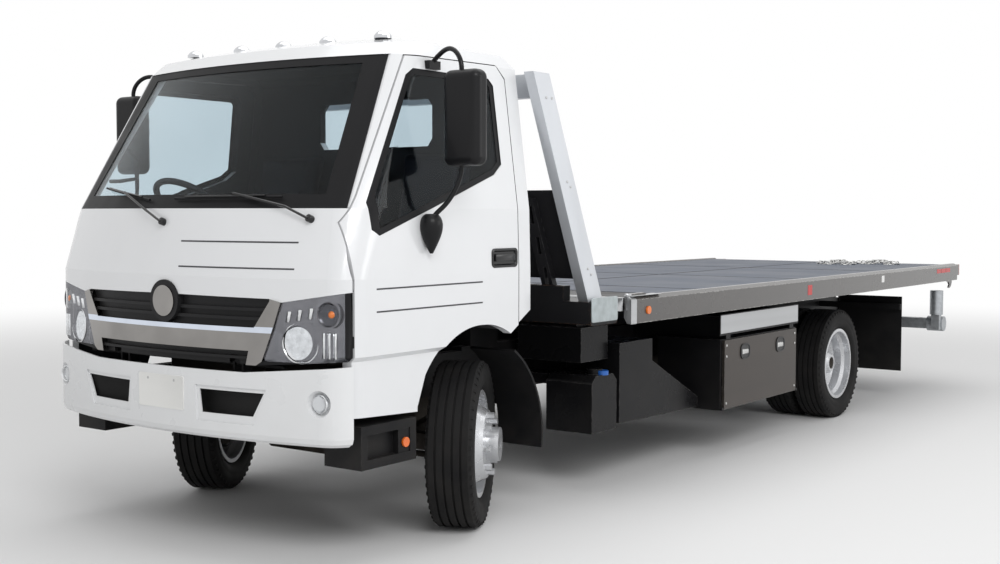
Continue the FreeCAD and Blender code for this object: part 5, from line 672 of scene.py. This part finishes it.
stripe_half = 0.0035
for node, body, levels, direction in (
        ("cab_nose", "cab", (1.404, 1.291), FRONT),
        ("door_left", "door_left_body", (1.205, 1.107), LEFT),
        ("door_right", "door_right_body", (1.205, 1.107), -LEFT)):
    for k, level in enumerate(levels):
        stripe = skin_of(node, "stripe_%s_%d" % (node, k), direction, 0.5)
        kept_between(level - stripe_half, level + stripe_half, UP)
        if node == "cab_nose":
            kept_between(0.085, 0.730, LEFT)
            pick(stripe, lambda middle, normal: middle.y > AXLE_Y - 0.95)
        else:
            kept_between(AXLE_Y - 0.770, AXLE_Y - 0.013, REAR)
            pick(stripe, lambda middle, normal: abs(middle.x) < 0.93)
        bpy.ops.mesh.delete(type="FACE")
        thickened(stripe, 0.0008)
        finished(stripe, stripe_grey, body)

# --------------------
# Windows. Laminated screen and toughened side glass bonded into black rubber
# gaskets, whose broad edge shows outside all round each pane.


def glass_of(name, tint, ior=1.2):
    """Clear glass with a faint film of dust that drifts over it."""
    made, tree, shader, place = blank(name)
    broad = toned(tree, place, 3.0, 60.0)["Broad"]
    colour = mixed(tree, broad, (*[c * 0.94 for c in tint], 1.0), (*tint, 1.0))
    fed(tree, shader, {"Transmission Weight": 1.0, "IOR": ior, "Metallic": 0.0, "Base Color": colour,
                       "Roughness": ranged(tree, broad, 0.0, 1.0, 0.0, 0.012)})
    return made


screen_glass = glass_of("screen_glass", (0.72, 0.80, 0.84))
side_glass = glass_of("side_glass", (0.70, 0.78, 0.82))
dress(screen_glass, "windscreen")
dress(side_glass, "door_glass_left", "door_glass_right", "rear_window")
bar_gloss = finish_of("gloss_black_plastic", (0.008, 0.008, 0.009), 0.2, coat=0.3, grain=300.0, shine=0.3)
gasket_black = black_of("gasket_rubber", (0.010, 0.010, 0.011), 0.45, spread=0.15, bump=0.08)


def band_of(node, name, direction, edges, body):
    """A rubber band round a pane: the pane's outer skin with its middle, inside the edges, taken out."""
    sheet = skin_of(node, name, direction, 0.35)
    for point, inward in edges:
        cut(point, inward)
    pick(sheet, lambda middle, normal: all(
        (middle - Vector(point)).dot(Vector(inward)) > 0.0 for point, inward in edges))
    bpy.ops.mesh.delete(type="FACE")
    thickened(sheet, 0.003)
    finished(sheet, gasket_black, body)


screen_edges = [((0.0, 0.0, 1.612), UP), ((0.0, 0.0, 2.205), -UP)]
lean_in = 0.150
screen_edges += [((sign * 0.800, 0.0, 1.589), (-sign, 0.0, -lean_in)) for sign in (1, -1)]
band_of("windscreen", "screen_gasket", (0.0, -1.0, 0.3), screen_edges, "cab")
frit, front_frit = 0.028, 0.052
window_corners = [(-0.789, 1.458), (-0.744, 1.432), (0.119, 1.715), (0.185, 1.765), (0.184, 2.150),
                  (0.150, 2.182), (-0.415, 2.182), (-0.460, 2.150), (-0.795, 1.575)]
for sign, side in SIDES:
    side_edges = []
    for k, (y, z) in enumerate(window_corners):
        y_next, z_next = window_corners[(k + 1) % len(window_corners)]
        run = Vector((0.0, y_next - y, z_next - z)).normalized()
        inward = Vector((0.0, -run.z, run.y))
        last_edge = k == len(window_corners) - 1
        corner = Vector(at(0.0, y, z)) + inward * (front_frit if last_edge else frit)
        side_edges.append((corner, inward))
    band_of("door_glass_" + side, "door_gasket_" + side, (sign, 0.0, 0.1), side_edges,
            "door_%s_body" % side)

# --------------------
# Wipers and door handles. Two black steel arms on moulded bosses hold rubber
# blades on the screen, and each door has a moulded paddle in a recess.


def rod(name, points, thickness):
    """A round bar bent along points."""
    curve = bpy.data.curves.new(name, "CURVE")
    curve.dimensions = "3D"
    curve.bevel_depth = thickness / 2
    curve.bevel_resolution = 2
    curve.use_fill_caps = True
    line = curve.splines.new("POLY")
    line.points.add(len(points) - 1)
    for point, place in zip(line.points, points):
        point.co = (*place, 1.0)
    bar = bpy.data.objects.new(name, curve)
    bpy.context.scene.collection.objects.link(bar)
    take_up(bar)
    bpy.ops.object.convert(target="MESH")
    return bpy.context.object


def on_screen(x, z, off):
    """A place just off the outside of the windscreen."""
    return seat_on("windscreen", at(x, -3.0, z), REAR) + Vector((0.0, -off * 0.78, off * 0.62))


for k, (pivot, elbow, tip, blade) in enumerate((
        ((-0.047, 1.486), (-0.150, 1.530), (-0.397, 1.606), ((-0.640, 1.640), (-0.180, 1.580))),
        ((0.770, 1.502), (0.660, 1.548), (0.362, 1.596), ((0.000, 1.585), (0.610, 1.590))))):
    foot = seat_on("cab_nose", at(pivot[0], -3.0, pivot[1]), REAR)
    boss = turned("wiper_boss_%d" % k, foot + REAR * 0.004, (0.0, -1.0, 0.35), 0.017, 0.024, 24,
                  [(0.003, 0.003), (0.005, 0.001)])
    finished(boss, bar_gloss, "cab")
    bend = seat_on("cab_nose", at(elbow[0], -3.0, elbow[1]), REAR) + Vector((0.0, -0.026, 0.010))
    arm_points = [foot + Vector((0.0, -0.022, 0.006)), bend, on_screen(*tip, 0.034)]
    arm_bar = rod("wiper_arm_%d" % k, arm_points, 0.012)
    finished(arm_bar, bar_gloss, "cab")
    (x_a, z_a), (x_b, z_b) = blade
    strip_points = [on_screen(x_a + (x_b - x_a) * n / 8, z_a + (z_b - z_a) * n / 8, 0.016) for n in range(9)]
    wiper = rod("wiper_blade_%d" % k, strip_points, 0.011)
    finished(wiper, gasket_black, "cab")
    holder_points = [point + Vector((0.0, -0.008, 0.007)) for point in strip_points[1:8]]
    finished(rod("wiper_holder_%d" % k, holder_points, 0.009), bar_gloss, "cab")
handle_skin = seat_on("door_left", at(2.0, 0.045, 1.315), -LEFT).x
recess = pressed("door_recess", at(handle_skin - 0.012, 0.060, 1.268), at(handle_skin + 0.0035, 0.273, 1.361),
                 0.022, [(0.003, 0.0015), (0.008, 0.0), (0.006, -0.009)])
both_sides(recess, "door_recess_SIDE", bar_gloss, "door_SIDE_body")
paddle = pressed("door_paddle", at(handle_skin - 0.006, 0.084, 1.298), at(handle_skin + 0.008, 0.248, 1.334),
                 0.010, [(0.004, 0.002)])
both_sides(paddle, "door_paddle_SIDE", bar_gloss, "door_SIDE_body")

# --------------------
# Grille and lamps. A chromed surround with black moulded bars behind it, and
# clear lenses over chromed bowls in the corners.
# The surround's chrome is laid dark warm grey: a painted reflection of the ground.
ground_reflection_chrome = finish_of("ground_reflection_chrome", (0.27, 0.26, 0.25), 0.10, metallic=1.0, spread=0.35, scale=4.0,
                          bump=0.02)
# Bluish bright chrome for a painted highlight: the sky's reflection along the band's top edge.
sky_glint_chrome = finish_of("sky_glint_chrome", (0.62, 0.67, 0.76), 0.06, metallic=1.0, spread=0.2, scale=6.0,
                        bump=0.01)
bar_black = black_of("bar_black", (0.016, 0.016, 0.017), 0.4, grain=300.0, dust=0.1)
lens_clear = glass_of("lens_clear", (0.96, 0.97, 0.98), 1.12)
housing_silver = finish_of("housing_silver", (0.60, 0.61, 0.63), 0.10, metallic=1.0, spread=0.25, scale=20.0)
dress(ground_reflection_chrome, "grille_surround")
dress(bar_black, "grille")
dress(lens_clear, "headlamps")
lamp_shell = finish_of("lamp_shell_chrome", (0.20, 0.20, 0.215), 0.18, metallic=0.9, spread=0.4, scale=16.0)
dress(lamp_shell, "headlamp_housings")
# A thin strip of bluish chrome along the top edge of the surround's band, a painted highlight.
line = skin_of("grille_surround", "grille_sky_glint", FRONT, 0.4)
kept_between(1.014, 1.040, UP)
thickened(line, 0.0015)
finished(line, sky_glint_chrome, "cab")
amber_lens = finish_of("amber_lens", (0.75, 0.16, 0.01), 0.12, coat=0.5, spread=0.2, scale=60.0, bump=0.1)


def two_lenses(made, other, axis, level):
    """Turns the part of a lens finish beyond a level on one axis into another colour."""
    tree = made.node_tree
    place = add_node(tree, "TexCoord").outputs["Object"]
    split = add_node(tree, "SeparateXYZ", {0: place}).outputs[axis]
    overlaid(made, worked_out(tree, "GREATER_THAN", split, level), "Base Color", (*other, 1.0))


two_lenses(amber_lens, (0.45, 0.012, 0.010), "Y", AXLE_Y + 4.0)
low_lens = finish_of("low_lens", (0.75, 0.14, 0.01), 0.12, coat=0.5, spread=0.2, scale=60.0, bump=0.1)
two_lenses(low_lens, (0.62, 0.64, 0.66), "Z", 0.62)
dress(housing_silver, "roof_lamps")
dress(low_lens, "chassis_lamps")
dress(amber_lens, "deck_lamps")
bowl_chrome = finish_of("bowl_chrome", (0.72, 0.73, 0.75), 0.05, metallic=1.0, spread=0.35, scale=40.0,
                        bump=0.05)
lamp_dark = finish_of("lamp_dark_chrome", (0.10, 0.10, 0.11), 0.15, metallic=0.9, spread=0.3, scale=20.0)
bulb_amber = finish_of("bulb_amber", (0.80, 0.20, 0.02), 0.2, coat=0.4, spread=0.1)
lamp_axis = Vector((0.26, -0.96, 0.04)).normalized()


def on_shell(x, z, beside=0.0):
    """A place on the left lamp's shell, or level with it on both sides of a bowl."""
    left, right = [seat_on("headlamp_housings", at(x + step, -2.0, z), REAR).y
                   for step in (-beside, beside * 0.6)]
    return Vector((x, (left * 0.6 + right) / 1.6, z))


main_seat, signal_seat = on_shell(0.762, 0.978, 0.100), on_shell(0.900, 1.102, 0.066)
main_steps = [(0.005, 0.002), (0.003, -0.003), (0.008, -0.009), (0.010, -0.007), (0.012, -0.005),
              (0.016, -0.003), (0.010, 0.0), (0.002, 0.012), (0.004, 0.002), (0.008, 0.0), (0.002, -0.006)]
signal_steps = [(0.004, 0.002), (0.003, -0.003), (0.008, -0.008), (0.012, -0.006), (0.010, -0.002)]
bulb_steps = [(0.003, 0.005), (0.005, 0.003), (0.004, 0.001)]
for name, seat, sunk, radius, depth, sides, steps, made, slot, smooth in (
        ("lamp_bowl", main_seat, 0.003, 0.090, 0.004, 48, main_steps, bowl_chrome, "rod_chrome", 28.0),
        ("signal_bowl", signal_seat, 0.003, 0.060, 0.004, 40, signal_steps, lamp_dark, "rod_chrome", 28.0),
        ("signal_bulb", signal_seat, 0.018, 0.017, 0.012, 24, bulb_steps, bulb_amber, "lamp_lens", 60.0)):
    lamp_part = turned(name, seat - lamp_axis * sunk, lamp_axis, radius, depth, sides, steps)
    both_sides(lamp_part, name + "_SIDE", made, "cab", smooth)
for k, (x, z) in enumerate(((0.700, 1.088), (0.752, 1.096), (0.806, 1.104))):
    seat = on_shell(x, z)
    slot_bar = block("lamp_slot", seat - Vector((0.011, 0.004, 0.024)), seat + Vector((0.011, 0.006, 0.024)))
    pick(slot_bar, towards(UP))
    bpy.ops.transform.translate(value=(0.012, 0.0, 0.0))
    rounded(0.0025, 2)
    both_sides(slot_bar, "lamp_slot_SIDE_%d" % k, bowl_chrome, "cab")
for k in range(3):
    seat = on_shell(0.872 + 0.024 * k, 0.975)
    rib = block("lamp_rib", seat - Vector((0.008, 0.004, 0.060)), seat + Vector((0.008, 0.008, 0.050)))
    rounded(0.0025, 2)
    both_sides(rib, "lamp_rib_SIDE_%d" % k, bowl_chrome, "cab")
for sign, label in SIDES:
    edge = skin_of("headlamps", "lamp_edge_" + label, (sign * 0.3, -1.0, 0.0), 0.1)
    cut((0.0, 0.0, 0.0), (sign, 0.0, 0.0), clear_inner=True)
    cut((0.0, 0.0, 0.892), UP)
    cut((sign * 0.957, 0.0, 0.0), (sign, 0.0, 0.0))
    pick(edge, lambda middle, normal: middle.z > 0.892 and abs(middle.x) < 0.957)
    bpy.ops.mesh.delete(type="FACE")
    thickened(edge, 0.0012)
    finished(edge, gasket_black, "cab")
for sign, label in SIDES:
    lens_seat = seat_on("chassis_lamps", at(sign * 0.872, -2.0, 0.726), REAR)
    ring = turned("fog_ring_" + label, lens_seat + REAR * 0.010, FRONT, 0.041, 0.008, 36,
                  [(0.003, 0.003), (0.004, -0.004)])
    pick(ring, lambda middle, normal: abs(normal.y) > 0.95 and (middle - lens_seat).xz.length < 0.005)
    bpy.ops.mesh.delete(type="FACE")
    finished(ring, bowl_chrome, "chassis")

# --------------------
# Mirrors. Black moulded heads on tubular arms that ride on the doors, with
# silvered glass facing the rear.
mirror_black = black_of("mirror_black", (0.009, 0.009, 0.010), 0.38, grain=350.0, bump=0.2, coat=0.1)
dress(mirror_black, "mirror_left", "mirror_right")
mirror_silver = finish_of("mirror_silver", (0.85, 0.87, 0.88), 0.02, metallic=1.0, spread=0.02, bump=0.0)
mirror_back = seat_on("mirror_left", at(1.15, 0.3, 1.95), FRONT).y
glass = block("mirror_glass", (1.075, mirror_back - 0.004, 1.775), (1.225, mirror_back + 0.003, 2.130))
rounded(0.002, 2)
pick(glass, towards(REAR, 0.95))
stepped([(0.004, 0.0), (0.003, -0.0015)])
both_sides(glass, "mirror_glass_SIDE", mirror_silver, "door_SIDE_body")

# --------------------
# Inside the cab. A moulded dashboard, a wheel with a soft rim, a grab handle
# and three seats in dark cloth over foam.
trim_dark = black_of("trim_dark_plastic", (0.012, 0.013, 0.016), 0.6, grain=320.0, bump=0.3)
cloth_dark = black_of("seat_cloth", (0.014, 0.015, 0.020), 0.9, spread=0.3, scale=40.0, grain=900.0,
                      bump=0.6)
dress(trim_dark, "dashboard", "steering_wheel")
dress(cloth_dark, "seats")
grab = rod("grab_handle", [at(-0.868, -0.640, 1.850), at(-0.815, -0.640, 1.850),
                           at(-0.795, -0.585, 1.800), at(-0.795, -0.605, 1.705),
                           at(-0.815, -0.690, 1.690), at(-0.885, -0.700, 1.690)], 0.020)
finished(grab, trim_dark, "cab")
swell_steps, swell_cap, weave_step = 20, 0.024, 0.009


def pad(name, low, high, lean):
    """A foam pad in a sewn cover: a rounded block swelled by a short cloth run."""
    cushion = block(name, low, high)
    if lean:
        pick(cushion, towards(UP))
        bpy.ops.transform.translate(value=(0.0, lean, 0.0))
    rounded(0.028, 3)
    take_up(cushion)
    net = cushion.modifiers.new("net", "REMESH")
    net.mode = "VOXEL"
    net.voxel_size = weave_step
    bpy.ops.object.modifier_apply(modifier=net.name)
    before = [vert.co.copy() for vert in cushion.data.vertices]
    cover = cushion.modifiers.new("cover", "CLOTH")
    cover.settings.use_pressure = True
    cover.settings.uniform_pressure_force = 4.0
    cover.settings.effector_weights.gravity = 0.0
    for step in range(1, swell_steps + 1):
        bpy.context.scene.frame_set(step)
    bpy.ops.object.modifier_apply(modifier=cover.name)
    for vert, start in zip(cushion.data.vertices, before):
        moved = vert.co - start
        if moved.length > swell_cap:
            vert.co = start + moved * (swell_cap / moved.length)
        vert.co.z = max(vert.co.z, low[2] - 0.001)
    bpy.context.scene.frame_set(1)
    return cushion


def seated(cushion, name, across):
    """Stands a pad at its place, as its own piece."""
    placed = copy_of(cushion, name, Matrix.Translation((across, 0.0, 0.0)))
    finished(placed, cloth_dark, "cab", 0.0)
    for polygon in placed.data.polygons:
        polygon.use_smooth = True
    return placed


outer_base = pad("outer_base", at(-0.222, -0.272, 1.200), at(0.222, 0.078, 1.292), 0.0)
outer_back = pad("outer_back", at(-0.222, 0.100, 1.315), at(0.222, 0.185, 1.855), 0.115)
middle_base = pad("middle_base", at(-0.170, -0.250, 1.200), at(0.170, 0.078, 1.288), 0.0)
middle_back = pad("middle_back", at(-0.170, 0.105, 1.315), at(0.170, 0.185, 1.760), 0.095)
seat_pieces = [seated(shape, "seat_%s_%s" % (part, label), across)
               for label, across in (("left", 0.520), ("right", -0.520))
               for part, shape in (("base", outer_base), ("back", outer_back))]
seat_pieces += [seated(middle_base, "seat_base_middle", 0.0), seated(middle_back, "seat_back_middle", 0.0)]
for shape in (outer_base, outer_back, middle_base, middle_back):
    bpy.data.objects.remove(shape)
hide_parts("seats")

# --------------------
# Headboard. Two leaning posts and a bar folded from aluminium sheet, with a
# dark shield plate and slotted braces between them.
post_aluminium = finish_of("post_aluminium", (0.60, 0.62, 0.65), 0.3, metallic=0.75, spread=0.10, scale=3.0,
                           grain=120.0, bump=0.06, dust=0.08, dust_height=1.4, stretch=(2.0, 2.0, 0.4))
shield_dark = black_of("shield_dark", (0.014, 0.014, 0.016), 0.4, dust=0.06, dust_height=1.8, wear=0.4,
                       wear_colour=(0.3, 0.3, 0.3))
dress(post_aluminium, "headboard_posts")
cap_zinc = finish_of("cap_zinc", (0.40, 0.44, 0.45), 0.42, metallic=0.6, spread=0.35, scale=26.0, grain=200.0,
                     bump=0.2, dust=0.1)
end_cap = pressed("beam_cap", at(1.1935, 0.640, 0.974), at(1.1990, 0.894, 1.100), 0.012, [(0.002, 0.002)])
both_sides(end_cap, "beam_cap_SIDE", cap_zinc, "chassis")
foot_row, head_row, foot_level, head_level = 0.700, 0.392, 1.079, 2.235
bolt_places = ((2.11, 0.060), (2.11, 0.110), (1.690, 0.070), (1.665, 0.090), (1.245, 0.070), (1.215, 0.090))
for k, (level, inset) in enumerate(bolt_places):
    share = (level - foot_level) / (head_level - foot_level)
    front = foot_row + share * (head_row - foot_row)
    seat = seat_on("headboard_posts", at(2.0, front + inset, level), -LEFT)
    bolt = turned("post_bolt", seat - LEFT * 0.001, LEFT, 0.007, 0.004, 6, [(0.0015, 0.001)])
    both_sides(bolt, "post_bolt_SIDE_%d" % k, bolt_zinc, "chassis")
dress(shield_dark, "headboard_shield")

# --------------------
# Bed. A steel floor sheet welded on cross-members between two folded rails
# in dark paint, with the winch behind the headboard.
floor_steel = finish_of("deck_floor_steel", (0.075, 0.090, 0.122), 0.50, metallic=0.3, spread=0.30, scale=2.5,
                        bump=0.15, dust=0.08, dust_height=0.5, wear=0.4, shine=0.3)
# The rails' light edges are rubbed paint and painted highlights along the rail edges.
rail_dark = finish_of("rail_dark_paint", (0.060, 0.055, 0.052), 0.26, coat=0.35, spread=0.2, scale=2.0,
                      dust=0.10, dust_height=1.5, dust_colour=(0.30, 0.28, 0.25), wear=1.0,
                      wear_colour=(0.66, 0.65, 0.62), wear_radius=0.007)
for sign, label in SIDES:
    corner = skin_of("deck_rails", "rail_corner_" + label, LEFT, -2.0)
    cut(at(0.0, 1.058, 0.0), REAR, clear_outer=True)
    cut((0.0, 0.0, 0.0), (sign, 0.0, 0.0), clear_inner=True)
    thickened(corner, 0.0012)
    finished(corner, shelf_brushed, "bed")
    eased_block("rail_lip_" + label, at(sign * 1.156, 1.03, 1.0895), at(sign * 1.213, 1.34, 1.0925), 0.001,
                shelf_brushed, "bed")
seam_dark = finish_of("seam_dark", (0.02, 0.02, 0.022), 0.6, grain=200.0, shine=0.2)
seam_foot, seam_ease = 1.0795, 0.0005
eased_block("deck_seam_long", at(-0.006, 1.08, seam_foot), at(0.006, 6.70, 1.0815), seam_ease, seam_dark,
            "bed")
for k, row in enumerate((2.0, 3.52, 5.04)):
    eased_block("deck_seam_%d" % k, at(-1.14, row - 0.004, seam_foot), at(1.14, row + 0.004, 1.0812),
                seam_ease, seam_dark, "bed")
tape_red = finish_of("tape_red", (0.50, 0.02, 0.02), 0.3, spread=0.15, scale=80.0)
tape_white = finish_of("tape_white", (0.75, 0.75, 0.74), 0.3, spread=0.1, scale=80.0)
for k, (row, half, level, tall, made) in enumerate((
        (3.417, 0.036, 1.012, 0.034, tape_red), (4.857, 0.030, 1.029, 0.026, tape_white),
        (6.255, 0.058, 1.040, 0.018, tape_red), (6.381, 0.058, 1.040, 0.018, tape_red),
        (6.507, 0.058, 1.040, 0.018, tape_red))):
    face = seat_on("deck_rails", at(2.0, row, level), -LEFT).x
    tape = block("tape", at(face - 0.0005, row - half, level - tall),
                 at(face + 0.0012, row + half, level + tall))
    round_corners(tape, "x", 0.004, 2)
    both_sides(tape, "rail_tape_SIDE_%d" % k, made, "bed")
link_zinc = finish_of("chain_zinc", (0.52, 0.52, 0.51), 0.35, metallic=0.9, spread=0.25, scale=60.0)
set_down()
bpy.ops.mesh.primitive_torus_add(major_segments=14, minor_segments=6, major_radius=0.014, minor_radius=0.0045)
link = bpy.context.object
bpy.ops.object.mode_set(mode="EDIT")
for side in (1, -1):
    bpy.ops.mesh.select_mode(type="VERT")
    bpy.ops.mesh.select_all(action="DESELECT")
    shaped = bmesh.from_edit_mesh(link.data)
    for vert in shaped.verts:
        vert.select_set(vert.co.x * side > 0.001)
    bmesh.update_edit_mesh(link.data)
    bpy.ops.transform.translate(value=(side * 0.010, 0.0, 0.0))
set_down()
link_level, link_rise, heap_rise = 1.0855, 0.009, 0.010


def heaped(middle, spans, t):
    """A place on a heap of chain, which is laid as a loop that crosses itself."""
    return (middle[0] + spans[0] * math.sin(t) * (0.75 + 0.25 * math.cos(5 * t)),
            AXLE_Y + middle[1] + spans[1] * math.sin(2 * t + 0.6) * (0.8 + 0.2 * math.sin(7 * t)))


for label, middle, spans, count in (("left", (0.33, 6.22), (0.16, 0.10), 52),
                                    ("right", (0.62, 6.46), (0.18, 0.06), 44)):
    laid_links = []
    for k in range(count):
        t = 2 * math.pi * k / count
        x, y = heaped(middle, spans, t)
        x_next, y_next = heaped(middle, spans, t + 0.02)
        z = link_level + heap_rise * max(0.0, math.cos(2 * t)) + link_rise * (k % 2)
        heading = Matrix.Rotation(math.atan2(y_next - y, x_next - x), 4, "Z")
        tipped = Matrix.Rotation(math.pi / 2 * (k % 2) + 0.3, 4, "X")
        laid_links.append(copy_of(link, "link_copy", Matrix.Translation((x, y, z)) @ heading @ tipped))
    finished(joined(laid_links, "deck_chain_" + label), link_zinc, "bed")
bpy.data.objects.remove(link)
winch_dark = black_of("winch_paint", (0.015, 0.015, 0.017), 0.4, dust=0.08, dust_height=1.5, wear=0.5)
drum_steel = finish_of("drum_steel", (0.30, 0.29, 0.28), 0.45, metallic=0.8, spread=0.25, scale=20.0,
                       dust=0.2)
dress(floor_steel, "deck_floor")
dress(rail_dark, "deck_rails")
dress(winch_dark, "winch_frame")
dress(drum_steel, "winch_drum")

# --------------------
# Wheel lift. A boom that slides under the deck's tail and a crossbar that
# swivels on it, both hot-dip galvanised.
galvanised = finish_of("galvanised_steel", (0.42, 0.44, 0.46), 0.42, metallic=0.75, spread=0.35, scale=30.0,
                       grain=200.0, bump=0.2, dust=0.3, dust_height=0.9)
dress(galvanised, "wheel_lift_boom", "wheel_lift_crossbar")
